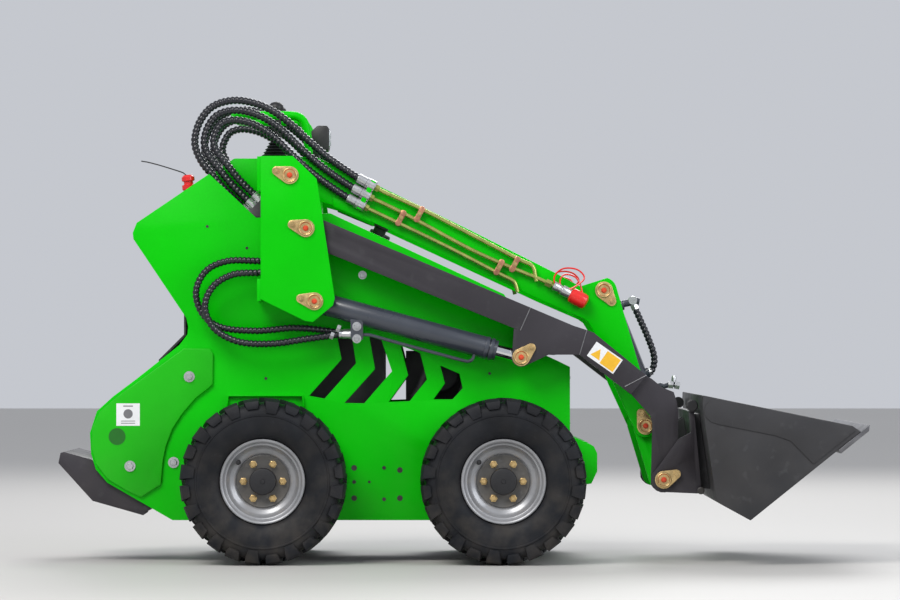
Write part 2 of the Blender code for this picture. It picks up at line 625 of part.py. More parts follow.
def upper_arm(side, name):
    """Profiled plate with its hub at A, dome at E, lug at C and a block for the lines."""
    plate = prism(name, arc(A, 0.045, 75, 243, 8) + [
        (-0.346, 0.988), (-0.218, 0.932), (0.224, 0.727), (0.344, 0.675), (0.358, 0.665),
        (0.373, 0.641), (0.430, 0.491)] + arc(C, 0.032, 200, 372, 8) + [(0.501, 0.539)]
        + arc(E, 0.036, 17, 75, 4) + [(0.336, 0.764), (0.280, 0.795), (0.025, 0.923),
                                      (-0.222, 1.0425), (-0.390, 1.121), (-0.402, 1.124)],
        side * UPPER_IN_Y, side * UPPER_OUT_Y)
    hub = pin("hub", A, 0.030, side * (TOWER_LEG_Y + TOWER_LEG_T + 0.002),
              side * (TOWER_IN_Y - 0.003))
    down, up = line_axes()
    top = Vector(LINE_END) + up * 0.014
    foot = Vector(LINE_END) - up * (2 * LINE_PITCH + 0.014)
    block = prism("block", [tuple(p) for p in (foot, foot + down * LINE_BLOCK_T,
                                               top + down * LINE_BLOCK_T, top)],
                  side * (UPPER_OUT_Y - 0.003), side * (LINE_Y + 0.013))
    stub = pin("stub", C, PIN_R, side * (LINK_IN_Y - 0.006), side * (UPPER_IN_Y + 0.004))
    arm = join(plate, hub, block, stub)
    arm = cut(arm, bore(A, PIN_R + PIN_GAP, side * 0.18, side * TOWER_IN_Y))
    return finish(arm, material(name, GREEN, 0.3))


def upper_cross():
    """Tube between the upper arms with the two lugs of the tilt cylinder's base."""
    half = UPPER_IN_Y - SEAT_GAP
    tube = pin("upper_cross", UPPER_CROSS, UPPER_CROSS_R, -half, half, 24)
    lugs = []
    for side in (-1, 1):
        outline = arc(E, 0.028, -70, 110, 8) + [(0.325, 0.755), (0.325, 0.715)]
        lugs.append(prism("lug", outline, side * TILT_LUG_Y,
                          side * (TILT_LUG_Y + LUG_T)))
    frame = join(tube, *lugs)
    through = TILT_LUG_Y + LUG_T + 0.004
    frame = cut(frame, bore(E, TILT_PIN_R + PIN_GAP, -through, through))
    return finish(frame, material("upper_cross", GREEN, 0.35))


def coupler_link():
    """Two link plates on the necked shaft at D, bored at C for the upper arm's stubs."""
    reach = HITCH_OUT_Y + 0.006
    neck = TILT_EYE_HALF + 0.012
    shaft = pin("coupler_link", D, SHAFT_NECK_R, -neck - 0.002, neck + 0.002, 24)
    plates = [pin("shaft", D, PIN_R, side * neck, side * reach, 24) for side in (-1, 1)]
    lean = atan2(LINK[1], LINK[0]) * 180 / pi
    for side in (-1, 1):
        outline = arc(C, 0.034, lean + 90, lean + 270, 8) + arc(D, 0.034, lean - 90, lean + 90, 8)
        plates.append(prism("plate", outline, side * LINK_IN_Y, side * LINK_OUT_Y))
    frame = join(shaft, *plates)
    frame = cut(frame, bore(C, PIN_R + PIN_GAP, -0.25, -0.15), bore(C, PIN_R + PIN_GAP, 0.15, 0.25))
    return finish(frame, material("coupler_link", GREEN, 0.35))


# ---- cylinders -------------------------------------------------------------------------------
def barrel(name, base, tip, y, radius, gland, rod_radius, rod_from, bore_radius, eye_half):
    """A cylinder barrel with its base eye and an open gland."""
    body = drum(name, at_y(along(base, tip, 0.026), y), at_y(along(base, tip, gland - 0.030), y),
                radius, 20)
    collar = drum("collar", at_y(along(base, tip, gland - 0.034), y),
                  at_y(along(base, tip, gland), y), radius - 0.003, 20)
    eye = pin("eye", base, EYE_R, y - eye_half, y + eye_half, 20)
    hole = drum("hole", at_y(along(base, tip, rod_from - 0.012), y),
                at_y(along(base, tip, gland + 0.02), y), rod_radius + ROD_GAP, 20)
    body = join(body, collar, eye)
    return cut(body, hole, bore(base, bore_radius, y - 0.05, y + 0.05))


def rod(name, base, tip, y, radius, rod_from, eye_half):
    """A cylinder rod with the eye that closes the linkage."""
    length = hypot(tip[0] - base[0], tip[1] - base[1])
    body = drum(name, at_y(along(base, tip, rod_from), y),
                at_y(along(base, tip, length - EYE_R * 0.7), y), radius, 20)
    eye = pin("eye", tip, EYE_R - 0.003, y - eye_half, y + eye_half, 20)
    body = join(body, eye)
    return cut(body, bore(tip, PIN_R, y - 0.05, y + 0.05))


def lift_barrel(side, name):
    y = side * LIFT_Y
    body = barrel(name, L, R, y, LIFT_BARREL_R, LIFT_GLAND_S, LIFT_ROD_R, LIFT_ROD_FROM_S,
                  PIN_R + PIN_GAP, LIFT_EYE_HALF)
    port = box("port", LIFT_PORT_REAR_X, LIFT_PORT_REAR_X + 0.034, side * (LIFT_Y - 0.024),
               side * (LIFT_Y + 0.024), LIFT_PORT_Z - 0.018, LIFT_PORT_Z + 0.038)
    return finish(join(body, port), material(name, SLATE, 0.4), 40)


def lift_rod(side, name):
    body = rod(name, L, R, side * LIFT_Y, LIFT_ROD_R, LIFT_ROD_FROM_S, LIFT_EYE_HALF)
    return finish(body, material(name, STEEL, 0.15, 1.0), 40)


def tilt_barrel():
    body = barrel("tilt_barrel", E, F, 0.0, TILT_BARREL_R, TILT_GLAND_S, TILT_ROD_R,
                  TILT_ROD_FROM_S, TILT_PIN_R + PIN_GAP, TILT_EYE_HALF)
    return finish(body, material("tilt_barrel", SLATE, 0.4), 40)


def tilt_rod():
    body = rod("tilt_rod", E, F, 0.0, TILT_ROD_R, TILT_ROD_FROM_S, TILT_EYE_HALF)
    return finish(body, material("tilt_rod", STEEL, 0.15, 1.0), 40)


def tilt_pin():
    reach = TILT_LUG_Y + LUG_T + 0.005
    body = pin("tilt_pin", E, TILT_PIN_R, -reach, reach)
    return finish(body, material("tilt_pin", STEEL, 0.3, 1.0), 40)


# ---- hitch and bucket ------------------------------------------------------------------------
FACE_TOP, FACE_FOOT = (0.632, 0.419), (0.653, 0.192)
BACK_TOP, BACK_FOOT = (0.660, 0.430), (0.696, 0.182)


def hitch_frame():
    """Face plate, side cheeks on the shaft at D and the lugs for the tilt rod at F."""
    face_path = [FACE_FOOT, FACE_TOP]
    face = bent_plate("hitch_frame", face_path, -FACE_T, -HITCH_OUT_Y, HITCH_OUT_Y)
    pieces = []
    for side in (-1, 1):
        cheek = arc(D, 0.034, 150, 262, 6) + [(0.655, 0.192), (0.643, 0.300), (0.637, 0.360),
                                              (0.603, 0.342), (0.545, 0.262)]
        pieces.append(prism("cheek", cheek, side * HITCH_IN_Y, side * HITCH_OUT_Y))
        lug = arc(F, 0.026, 110, 280, 8) + [(0.653, 0.240), (0.640, 0.400)]
        pieces.append(prism("lug", lug, side * TILT_LUG_Y, side * (TILT_LUG_Y + LUG_T)))
    frame = join(face, *pieces)
    frame = cut(frame, bore(D, PIN_R + PIN_GAP, -0.36, -0.32), bore(D, PIN_R + PIN_GAP, 0.32, 0.36))
    return finish(frame, material("hitch_frame", DARK, 0.5))


def bucket_tip(distance):
    """A point on the floor's underside, at a distance forward of the heel."""
    turn = radians(FLOOR_DEG)
    return (HEEL[0] + distance * cos(turn), HEEL[1] + distance * sin(turn))


def bucket():
    """Back, heel, floor and side plates, open at the top, with its mounting plate."""
    floor_length = (FRONT_END_X - HEEL[0]) / cos(radians(FLOOR_DEG)) - 0.030
    lip = bucket_tip(floor_length)
    outline = [(0.661, 0.464), BACK_TOP, BACK_FOOT, (0.706, 0.170), HEEL, lip,
               (lip[0] - 0.024, lip[1] + 0.016)]
    shell = prism("bucket", outline, -BUCKET_HALF, BUCKET_HALF)
    walls = inset([(0.640, 0.700), BACK_TOP, BACK_FOOT, (0.706, 0.170), HEEL,
                   bucket_tip(floor_length + 0.2)], BUCKET_T)
    inner = BUCKET_HALF - BUCKET_T
    shell = cut(shell, prism("room", walls, -inner, inner))
    lean = (FACE_FOOT[0] - FACE_TOP[0]) / (FACE_TOP[1] - FACE_FOOT[1])
    front_x = FACE_TOP[0] + (FACE_T + SEAT_GAP) * hypot(1.0, lean)
    high, low = FACE_TOP[1] - 0.008, FACE_FOOT[1] + 0.012
    mount = prism("mount", [(front_x + lean * 0.008, high),
                            (front_x + lean * (FACE_TOP[1] - low), low),
                            (0.697, low), (0.6635, high)], -0.300, 0.300)
    shell = join(shell, mount)
    return finish(shell, material("bucket", DARK, 0.55))


def cutting_edge():
    """The wear plate bolted under the floor's front."""
    turn = radians(FLOOR_DEG)
    length = (FRONT_END_X - SEAT_GAP * sin(turn) - HEEL[0]) / cos(turn)
    down = Vector((sin(turn), -cos(turn)))
    front = Vector(bucket_tip(length))
    back = Vector(bucket_tip(length - EDGE_W))
    bevel = Vector(bucket_tip(length - EDGE_T)) + down * EDGE_T
    blade = [tuple(back + down * SEAT_GAP), tuple(back + down * EDGE_T), tuple(bevel),
             tuple(front + down * SEAT_GAP)]
    edge = prism("cutting_edge", blade, -BUCKET_HALF, BUCKET_HALF)
    return finish(edge, material("cutting_edge", STEEL, 0.4, 0.8))


def pivot_empty(name, point, y=0.0):
    made = bpy.data.objects.new(name, None)
    made.empty_display_size = 0.05
    made.location = at_y(point, y)
    bpy.context.scene.collection.objects.link(made)
    return made


def hang(pivot, *pieces):
    """Parents pieces to the empty on their joint's axis, leaving them where they are."""
    for piece in pieces:
        piece.parent = pivot
        piece.matrix_parent_inverse = Matrix.Translation(-pivot.location)


def main():
    for old in list(bpy.data.objects):
        bpy.data.objects.remove(old)
    body_shell()
    engine_block()
    foot_platform()
    nose_step()
    console()
    handrail()
    work_lamp()
    lower, upper = pivot_empty("axis_B", B), pivot_empty("axis_A", A)
    hang(lower, lower_cross_tube())
    hang(upper, upper_cross())
    for side, tag in ((-1, "_right"), (1, "_left")):
        side_plate(side, "side_plate" + tag)
        rear_cover(side, "rear_cover" + tag)
        tower(side, "tower" + tag)
        control_lever(side, "control_lever" + tag)
        lift_hoses(side, tag)
        arch_hoses(side, tag)
        hang(lower, lower_arm(side, "lower_arm" + tag))
        hang(upper, upper_arm(side, "upper_arm" + tag))
        lift_axis = pivot_empty("axis_L" + tag, L, side * LIFT_Y)
        hang(lift_axis, lift_barrel(side, "lift_barrel" + tag), lift_rod(side, "lift_rod" + tag))
        for x, end in ((REAR_AXLE_X, "_rear"), (REAR_AXLE_X + WHEELBASE, "_front")):
            tyre(side, x, "tyre" + end + tag)
            rim(side, x, "rim" + end + tag)
            wheel_motor(side, x, "wheel_motor" + end + tag)
    hang(pivot_empty("axis_D", D), coupler_link())
    hang(pivot_empty("axis_D_tilt", D), hitch_frame(), bucket(), cutting_edge())
    hang(pivot_empty("axis_E", E), tilt_pin(), tilt_barrel(), tilt_rod())


main()
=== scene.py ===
from math import atan2, cos, hypot, pi, radians, sin
from random import Random

import bmesh
import bpy
from mathutils import Matrix, Vector


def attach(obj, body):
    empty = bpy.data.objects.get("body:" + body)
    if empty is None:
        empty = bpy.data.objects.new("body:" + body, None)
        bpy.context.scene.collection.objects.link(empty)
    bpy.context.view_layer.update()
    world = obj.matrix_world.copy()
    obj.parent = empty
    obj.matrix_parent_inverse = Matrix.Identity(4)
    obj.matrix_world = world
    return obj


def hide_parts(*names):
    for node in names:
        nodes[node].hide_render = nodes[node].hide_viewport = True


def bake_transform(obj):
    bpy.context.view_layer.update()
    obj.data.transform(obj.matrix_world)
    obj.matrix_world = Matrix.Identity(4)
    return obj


# The look of the compact stand-on skid steer loader, over its CAD frame.
# Metres.  +X is forward, +Y is left, +Z is up; side points are (x, z).
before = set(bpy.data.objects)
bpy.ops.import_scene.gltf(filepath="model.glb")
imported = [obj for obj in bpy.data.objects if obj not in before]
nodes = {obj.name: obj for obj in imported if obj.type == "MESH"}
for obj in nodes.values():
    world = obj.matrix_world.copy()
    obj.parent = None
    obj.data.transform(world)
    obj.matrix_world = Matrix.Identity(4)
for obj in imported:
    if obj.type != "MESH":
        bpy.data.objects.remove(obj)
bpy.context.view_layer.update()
rng = Random(7)

SIDES = ((-1, "right"), (1, "left"))
B, D, LINK = (-0.423, 0.922), (0.562, 0.230), (0.044, -0.146)
A = (B[0] - LINK[0], B[1] - LINK[1])
C = (D[0] - LINK[0], D[1] - LINK[1])
E, F = (0.402, 0.753), (0.567, 0.331)
L, R = (-0.399, 0.721), (0.170, 0.567)
PLATE_Y = 0.250
TOWER_Y = 0.356
LOWER_ARM_Y = 0.338
UPPER_ARM_Y = 0.225
HITCH_Y = 0.342
COVER_Y = 0.2598
LIFT_Y = 0.303
AXLES = (("rear", -0.537), ("front", 0.120))
AXLE_Z = 0.228
WHEEL_Y = 0.375
BEVEL_SEGMENTS = 2
BEVEL_ANGLE = 30
WRAP_PITCH = 0.012


# ---- materials -------------------------------------------------------------------------------
def surface(name, colour, rough, metal=0.0, coat=0.0, vary=0.08, grain=14.0, fine=350.0,
            bump=0.08, dust=0.0, rub=0.0, rub_colour=(0.25, 0.25, 0.25), shine=0.5):
    """A Principled material with uneven tone and gloss, a fine grain, and dust near the ground."""
    mat = bpy.data.materials.new(name)
    mat.use_nodes = True
    tree = mat.node_tree
    shader = tree.nodes["Principled BSDF"]
    shader.inputs["Metallic"].default_value = metal
    shader.inputs["Coat Weight"].default_value = coat
    shader.inputs["Specular IOR Level"].default_value = shine
    shader.inputs["Coat Roughness"].default_value = 0.12
    coords = tree.nodes.new("ShaderNodeTexCoord").outputs["Object"]

    def noise(scale, detail=4.0):
        made = tree.nodes.new("ShaderNodeTexNoise")
        made.inputs["Scale"].default_value = scale
        made.inputs["Detail"].default_value = detail
        tree.links.new(coords, made.inputs["Vector"])
        return made.outputs["Fac"]

    def spread(value, low, high, to_low, to_high):
        made = tree.nodes.new("ShaderNodeMapRange")
        for key, number in (("From Min", low), ("From Max", high), ("To Min", to_low),
                            ("To Max", to_high)):
            made.inputs[key].default_value = number
        tree.links.new(value, made.inputs["Value"])
        return made.outputs["Result"]

    def blend_colour(factor, first, second):
        made = tree.nodes.new("ShaderNodeMix")
        made.data_type = "RGBA"
        tree.links.new(factor, made.inputs[0])
        for socket, value in ((6, first), (7, second)):
            if isinstance(value, tuple):
                made.inputs[socket].default_value = (*value, 1.0)
            else:
                tree.links.new(value, made.inputs[socket])
        return made.outputs[2]

    def times(first, second):
        made = tree.nodes.new("ShaderNodeMath")
        made.operation = "MULTIPLY"
        tree.links.new(first, made.inputs[0])
        tree.links.new(second, made.inputs[1])
        return made.outputs[0]

    broad, close = noise(grain, 5.0), noise(fine, 3.0)
    darker = tuple(c * (1 - vary) for c in colour)
    lighter = tuple(min(1.0, c * (1 + vary)) for c in colour)
    tone = blend_colour(spread(broad, 0.35, 0.65, 0.0, 1.0), darker, lighter)
    if rub:
        scuffs = spread(noise(grain * 5, 8.0), 0.60, 0.72, 0.0, rub)
        tone = blend_colour(scuffs, tone, rub_colour)
    if dust:
        split = tree.nodes.new("ShaderNodeSeparateXYZ")
        tree.links.new(coords, split.inputs[0])
        low = spread(split.outputs["Z"], 0.0, 0.45, dust, 0.0)
        patchy = spread(noise(grain * 1.7, 7.0), 0.38, 0.66, 0.0, 1.0)
        tone = blend_colour(times(low, patchy), tone, (0.30, 0.25, 0.19))
    tree.links.new(tone, shader.inputs["Base Color"])
    gloss = spread(noise(grain * 2.3, 4.0), 0.3, 0.7, max(0.03, rough - 0.06), rough + 0.07)
    tree.links.new(gloss, shader.inputs["Roughness"])
    relief = tree.nodes.new("ShaderNodeBump")
    relief.inputs["Strength"].default_value = bump
    relief.inputs["Distance"].default_value = 0.001
    tree.links.new(close, relief.inputs["Height"])
    tree.links.new(relief.outputs["Normal"], shader.inputs["Normal"])
    return mat


GREEN = surface("green_enamel", (0.0, 0.52, 0.0), 0.40, coat=0.03, vary=0.05, grain=5,
                fine=120, bump=0.05, dust=0.05, shine=0.12)
COVER = surface("cover_enamel", (0.016, 0.46, 0.010), 0.42, coat=0.03, vary=0.05, grain=6,
                fine=120, bump=0.06, dust=0.05, shine=0.12)
# a darkened copy of the cover green: painted shade for a recess, not a paint of its own
RECESS_SHADE_GREEN = surface("green_recess_painted_shade", (0.002, 0.13, 0.002), 0.5, vary=0.1)
DARK = surface("charcoal_enamel", (0.036, 0.033, 0.039), 0.45, coat=0.02, shine=0.25,
               vary=0.12, grain=7, fine=140, bump=0.08, rub=0.10,
               rub_colour=(0.12, 0.12, 0.125), dust=0.06)
BUCKET = surface("bucket_enamel", (0.037, 0.037, 0.040), 0.5, coat=0.02, shine=0.25,
                 vary=0.14, grain=6, fine=120, bump=0.1, rub=0.18,
                 rub_colour=(0.12, 0.12, 0.125), dust=0.06)
BLACK = surface("black_enamel", (0.014, 0.014, 0.016), 0.5, vary=0.15, grain=9, fine=150,
                rub=0.1, dust=0.15)
# dark grey cylinder paint is the barrels' own colour; its bluish tint is a painted reflection of
# the sky
SLATE_PAINT_SKY_TINT = surface("cylinder_enamel_sky_tint", (0.040, 0.047, 0.062), 0.3, coat=0.35, vary=0.1, grain=9,
                fine=160)
SILVER = surface("rim_enamel", (0.30, 0.305, 0.32), 0.34, metal=0.35, coat=0.2, vary=0.1,
                 grain=12, fine=220, rub=0.1, rub_colour=(0.2, 0.19, 0.17), dust=0.12)
DISC = surface("disc_enamel", (0.085, 0.083, 0.080), 0.42, metal=0.3, vary=0.15, grain=14,
               fine=220, rub=0.2, dust=0.3)
RUBBER = surface("tyre_rubber", (0.010, 0.011, 0.014), 0.58, shine=0.2, vary=0.25, grain=11,
                 fine=260, bump=0.25, rub=0.15, rub_colour=(0.038, 0.040, 0.045), dust=0.10)
HOSE = surface("hose_wrap", (0.010, 0.011, 0.016), 0.26, vary=0.2, grain=20, fine=400, bump=0.1)
MOULDED = surface("moulded_rubber", (0.009, 0.009, 0.011), 0.5, vary=0.15, grain=20, fine=320)
PLASTIC = surface("black_plastic", (0.018, 0.018, 0.019), 0.42, vary=0.1, grain=25, fine=500,
                  bump=0.12)
CHROME = surface("chrome", (0.72, 0.73, 0.75), 0.09, metal=1.0, vary=0.03, grain=20, fine=300,
                 bump=0.02)
STEEL = surface("zinc_steel", (0.58, 0.59, 0.60), 0.3, metal=0.9, vary=0.1, grain=40, fine=400,
                rub=0.15, rub_colour=(0.3, 0.29, 0.28))
EDGE = surface("worn_edge", (0.16, 0.16, 0.17), 0.38, metal=0.7, vary=0.25, grain=18, fine=200,
               rub=0.5, rub_colour=(0.33, 0.32, 0.31))
GOLD = surface("yellow_zinc", (0.62, 0.44, 0.20), 0.3, metal=0.8, vary=0.18, grain=60, fine=400,
               rub=0.2, rub_colour=(0.55, 0.32, 0.2))
LINE = surface("zinc_line", (0.42, 0.46, 0.13), 0.28, metal=0.75, vary=0.15, grain=35, fine=400)
COPPER = surface("clamp_bronze", (0.46, 0.22, 0.13), 0.38, metal=0.7, vary=0.2, grain=50)
RED = surface("red_plastic", (0.72, 0.015, 0.012), 0.3, coat=0.3, vary=0.08, grain=30)
ORANGE = surface("orange_cap", (0.62, 0.055, 0.015), 0.35, vary=0.15, grain=80)
WHITE = surface("label_white", (0.78, 0.79, 0.80), 0.4, vary=0.03, grain=40, bump=0.02)
YELLOW = surface("label_yellow", (0.83, 0.46, 0.02), 0.4, vary=0.05, grain=40, bump=0.02)
GREY = surface("label_grey", (0.16, 0.16, 0.17), 0.5, vary=0.05, grain=40, bump=0.02)
IRON = surface("engine_iron", (0.030, 0.030, 0.033), 0.6, vary=0.2, grain=15, bump=0.2)
LENS = surface("lamp_lens", (0.70, 0.74, 0.78), 0.12, coat=0.6, vary=0.05, grain=60)


# ---- mesh tools ------------------------------------------------------------------------------
def settle(name, mesh, mat, body, replaced=(), sharp=32, blend=None):
    """Makes a mesh a piece: smooth by angle, painted, and riding a body; given blend, it stays
    unattached with its transform baked.
    """
    obj = bpy.data.objects.new(name, mesh)
    bpy.context.scene.collection.objects.link(obj)
    mesh.materials.clear()
    mesh.materials.append(mat)
    mesh.shade_smooth()
    mesh.set_sharp_from_angle(angle=radians(sharp))
    if blend:
        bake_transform(obj)
    else:
        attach(obj, body)
    if replaced:
        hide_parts(*replaced)
    return obj


def piece(name, bm, mat, body, replaced=(), bevel=0.0, sharp=32, blend=None):
    bmesh.ops.recalc_face_normals(bm, faces=bm.faces)
    mesh = bpy.data.meshes.new(name)
    bm.to_mesh(mesh)
    bm.free()
    if bevel:
        mesh = softened(mesh, bevel)
    return settle(name, mesh, mat, body, replaced, sharp, blend)


def softened(mesh, width):
    """The mesh with the edges sharper than BEVEL_ANGLE rounded."""
    holder = bpy.data.objects.new("holder", mesh)
    bpy.context.scene.collection.objects.link(holder)
    bevel = holder.modifiers.new("bevel", "BEVEL")
    bevel.width = width
    bevel.segments = BEVEL_SEGMENTS
    bevel.limit_method = "ANGLE"
    bevel.angle_limit = radians(BEVEL_ANGLE)
    graph = bpy.context.evaluated_depsgraph_get()
    made = bpy.data.meshes.new_from_object(holder.evaluated_get(graph))
    bpy.data.objects.remove(holder)
    return made


def rounded(node, mat, body, width=0.0015, squeeze=1.0):
    """Stands for a CAD node with the same shape and rounded edges."""
    bm = bmesh.new()
    bm.from_mesh(nodes[node].data)
    bmesh.ops.remove_doubles(bm, verts=bm.verts, dist=1e-5)
    bmesh.ops.dissolve_limit(bm, angle_limit=radians(1), verts=bm.verts, edges=bm.edges)
    for vert in bm.verts:
        vert.co.y *= squeeze
    mesh = bpy.data.meshes.new(node + "_look")
    bm.to_mesh(mesh)
    bm.free()
    return settle(node + "_look", softened(mesh, width), mat, body, (node,))


def repaint(node, mat):
    nodes[node].data.materials.clear()
    nodes[node].data.materials.append(mat)


def aim(point, direction, roll=0.0):
    """A matrix that carries local +Z to a direction at a point."""
    turn = Vector(direction).to_track_quat("Z", "Y").to_matrix().to_4x4()
    return Matrix.Translation(point) @ turn @ Matrix.Rotation(roll, 4, "Z")


def add_faces(bm, rings, closed_ends=True):
    """Skins rings of points in order; a ring of one point closes to it."""
    made = [[bm.verts.new(p) for p in ring] for ring in rings]
    for a, b in zip(made, made[1:]):
        n = max(len(a), len(b))
        for k in range(n):
            corners = [a[k % len(a)], a[(k + 1) % len(a)], b[(k + 1) % len(b)], b[k % len(b)]]
            corners = list(dict.fromkeys(corners))
            if len(corners) > 2:
                bm.faces.new(corners)
    if closed_ends:
        for ring in (made[0], made[-1]):
            if len(ring) > 2:
                bm.faces.new(ring)
    return made


def add_lathe(bm, profile, matrix, sides=24):
    rings = []
    for r, h in profile:
        if r < 1e-6:
            rings.append([matrix @ Vector((0, 0, h))])
        else:
            rings.append([matrix @ Vector((r * cos(2 * pi * k / sides), r * sin(2 * pi * k / sides),
                                           h)) for k in range(sides)])
    add_faces(bm, rings)


def add_prism(bm, outline, y0, y1):
    add_faces(bm, [[(x, y, z) for x, z in outline] for y in (y0, y1)])


def add_box(bm, x0, x1, y0, y1, z0, z1):
    add_prism(bm, [(x0, z0), (x1, z0), (x1, z1), (x0, z1)], y0, y1)


def add_block(bm, matrix, half_x, half_y, z0, z1):
    ring = [(-half_x, -half_y), (half_x, -half_y), (half_x, half_y), (-half_x, half_y)]
    add_faces(bm, [[matrix @ Vector((x, y, z)) for x, y in ring] for z in (z0, z1)])


def add_bolt(bm, point, direction, size=0.009, roll=0.0):
    """A chamfered hexagon head on its washer."""
    at = aim(point, direction, roll)
    base = size * 0.2
    add_lathe(bm, [(0, 0), (size * 1.45, 0), (size * 1.5, size * 0.08), (size * 1.45, base),
                   (0, base)], at, 20)
    add_lathe(bm, [(0, base), (size, base), (size, base + size * 0.62),
                   (size * 0.86, base + size * 0.74), (0, base + size * 0.74)], at, 6)
    add_lathe(bm, [(0, base + size * 0.7), (size * 0.42, base + size * 0.7),
                   (size * 0.40, base + size * 0.95), (0, base + size * 0.98)], at, 10)


def smooth_route(points, spacing):
    """Even points on a smooth curve whose first and last stretches stay straight."""
    route = [Vector(p) for p in points]
    fine = []
    for p0, p1, p2, p3 in zip(route, route[1:], route[2:], route[3:]):
        for k in range(20):
            t = k / 20
            fine.append(0.5 * (2 * p1 + (p2 - p0) * t + (2 * p0 - 5 * p1 + 4 * p2 - p3) * t ** 2
                               + (3 * p1 - p0 - 3 * p2 + p3) * t ** 3))
    fine = [route[0]] + fine + [route[-2], route[-1]]
    reach = [0.0]
    for p, q in zip(fine, fine[1:]):
        reach.append(reach[-1] + (q - p).length)
    count = max(2, round(reach[-1] / spacing))
    even, k = [], 0
    for n in range(count + 1):
        goal = reach[-1] * n / count
        while k < len(fine) - 2 and reach[k + 1] < goal:
            k += 1
        even.append(fine[k].lerp(fine[k + 1], (goal - reach[k]) / (reach[k + 1] - reach[k])))
    return even


def add_tube(bm, points, radius, sides=12, spacing=0.004, wrap=0.0):
    """A swept tube; wrap is the depth of a spiral groove as a part of the radius."""
    line = smooth_route(points, spacing)
    side = None
    rings, travelled = [], 0.0
    for k, point in enumerate(line):
        ahead = line[min(k + 1, len(line) - 1)] - line[max(k - 1, 0)]
        ahead.normalize()
        if side is None:
            side = ahead.orthogonal().normalized()
        side = (side - ahead * side.dot(ahead)).normalized()
        other = ahead.cross(side)
        if k:
            travelled += (point - line[k - 1]).length
        ring = []
        for n in range(sides):
            angle = 2 * pi * n / sides
            wave = 0.5 + 0.5 * cos(2 * pi * travelled / WRAP_PITCH - angle)
            r = radius * (1 - wrap * wave ** 3)
            ring.append(point + (side * cos(angle) + other * sin(angle)) * r)
        rings.append(ring)
    add_faces(bm, rings)


def mirrored(points, side):
    return [(x, side * y, z) for x, y, z in points]


def at(point, y):
    return (point[0], y, point[1])


# ---- painted CAD pieces ----------------------------------------------------------------------
for _, tag in SIDES:
    rounded("side_plate_" + tag, GREEN, "chassis", 0.0012)
    rounded("rear_cover_" + tag, COVER, "chassis", 0.0025)
    rounded("tower_" + tag, GREEN, "chassis", 0.0018)
    rounded("lower_arm_" + tag, DARK, "lower_arms", 0.0025)
    rounded("upper_arm_" + tag, GREEN, "upper_arms", 0.0018)
    rounded("lift_barrel_" + tag, SLATE_PAINT_SKY_TINT, "lift_barrel_" + tag, 0.0015)
    repaint("lift_rod_" + tag, CHROME)
    for end, _ in AXLES:
        repaint("wheel_motor_" + end + "_" + tag, BLACK)
rounded("body_shell", BLACK, "chassis", 0.0015)
rounded("console", GREEN, "chassis", 0.004)
rounded("nose_step", GREEN, "chassis", 0.0018)
rounded("foot_platform", DARK, "chassis", 0.0012)
rounded("upper_cross", GREEN, "upper_arms", 0.0012)
rounded("coupler_link", GREEN, "link", 0.0012)
rounded("hitch_frame", DARK, "attachment", 0.0015)
rounded("bucket", BUCKET, "attachment", 0.0018, squeeze=0.994)
rounded("cutting_edge", EDGE, "attachment", 0.0012)
rounded("tilt_barrel", SLATE_PAINT_SKY_TINT, "tilt_barrel", 0.0015)
rounded("work_lamp", PLASTIC, "chassis", 0.003)
repaint("lower_cross_tube", DARK)
repaint("engine_block", IRON)
repaint("tilt_rod", CHROME)
repaint("tilt_pin", STEEL)


# ---- wheels ----------------------------------------------------------------------------------
LUGS = 24
SIDEWALL = [(0.1022, 0.0660), (0.1085, 0.0700), (0.1172, 0.0765), (0.1200, 0.0850),
            (0.1290, 0.0925), (0.1430, 0.0990), (0.1600, 0.1018), (0.1740, 0.1022),
            (0.1785, 0.1018), (0.1800, 0.1036), (0.1830, 0.1036), (0.1845, 0.1012),
            (0.1950, 0.0995), (0.2050, 0.0950), (0.2110, 0.0860), (0.2150, 0.0640),
            (0.2165, 0.0300)]


def tyre(side, x, end, tag):
    """Carcass with raised sidewall rings, and two rows of slanting shoulder lugs."""
    bm = bmesh.new()
    at_wheel = Matrix.Translation((x, side * WHEEL_Y, AXLE_Z)) @ Matrix.Rotation(
        radians(90), 4, "X")
    profile = [(r, h) for r, h in SIDEWALL] + [(r, -h) for r, h in SIDEWALL[::-1]]
    ring = profile + [(0.1018, -0.0400), (0.1018, 0.0400)]
    rings = []
    for k in range(96):
        a = 2 * pi * k / 96
        rings.append([at_wheel @ Vector((r * cos(a), r * sin(a), h)) for r, h in ring])
    rings.append(rings[0])
    add_faces(bm, rings, closed_ends=False)
    for flank in (-1, 1):
        for k in range(LUGS):
            middle = 2 * pi * (k + (0.5 if flank > 0 else 0.0)) / LUGS
            long = k % 2
            stations = [(0.1035, 0.188 if long else 0.200, 0.60), (0.1045, 0.2080, 0.72),
                        (0.0985, 0.2205, 0.78), (0.0860, 0.2265, 0.80), (0.0500, 0.2278, 0.74),
                        (0.0060 if long else 0.018, 0.2279, 0.46)]
            sections = []
            for h, r, width in stations:
                slant = 0.055 * (0.1045 - h) / 0.1
                half = width * pi / LUGS * 0.86
                bed = min(r - 0.004, 0.209)
                deep = h if h < 0.09 else h - 0.012
                corner = []
                for offset, radius, height in ((-half * 1.12, bed, deep), (-half, r, h),
                                               (half, r, h), (half * 1.12, bed, deep)):
                    a = middle + flank * slant + offset
                    corner.append(at_wheel @ Vector((radius * cos(a), radius * sin(a),
                                                     flank * height)))
                sections.append(corner)
            add_faces(bm, sections)
    piece("tyre_{}_{}_look".format(end, tag), bm, RUBBER, "wheel_{}_{}".format(end, tag),
          ("tyre_{}_{}".format(end, tag),), sharp=38)


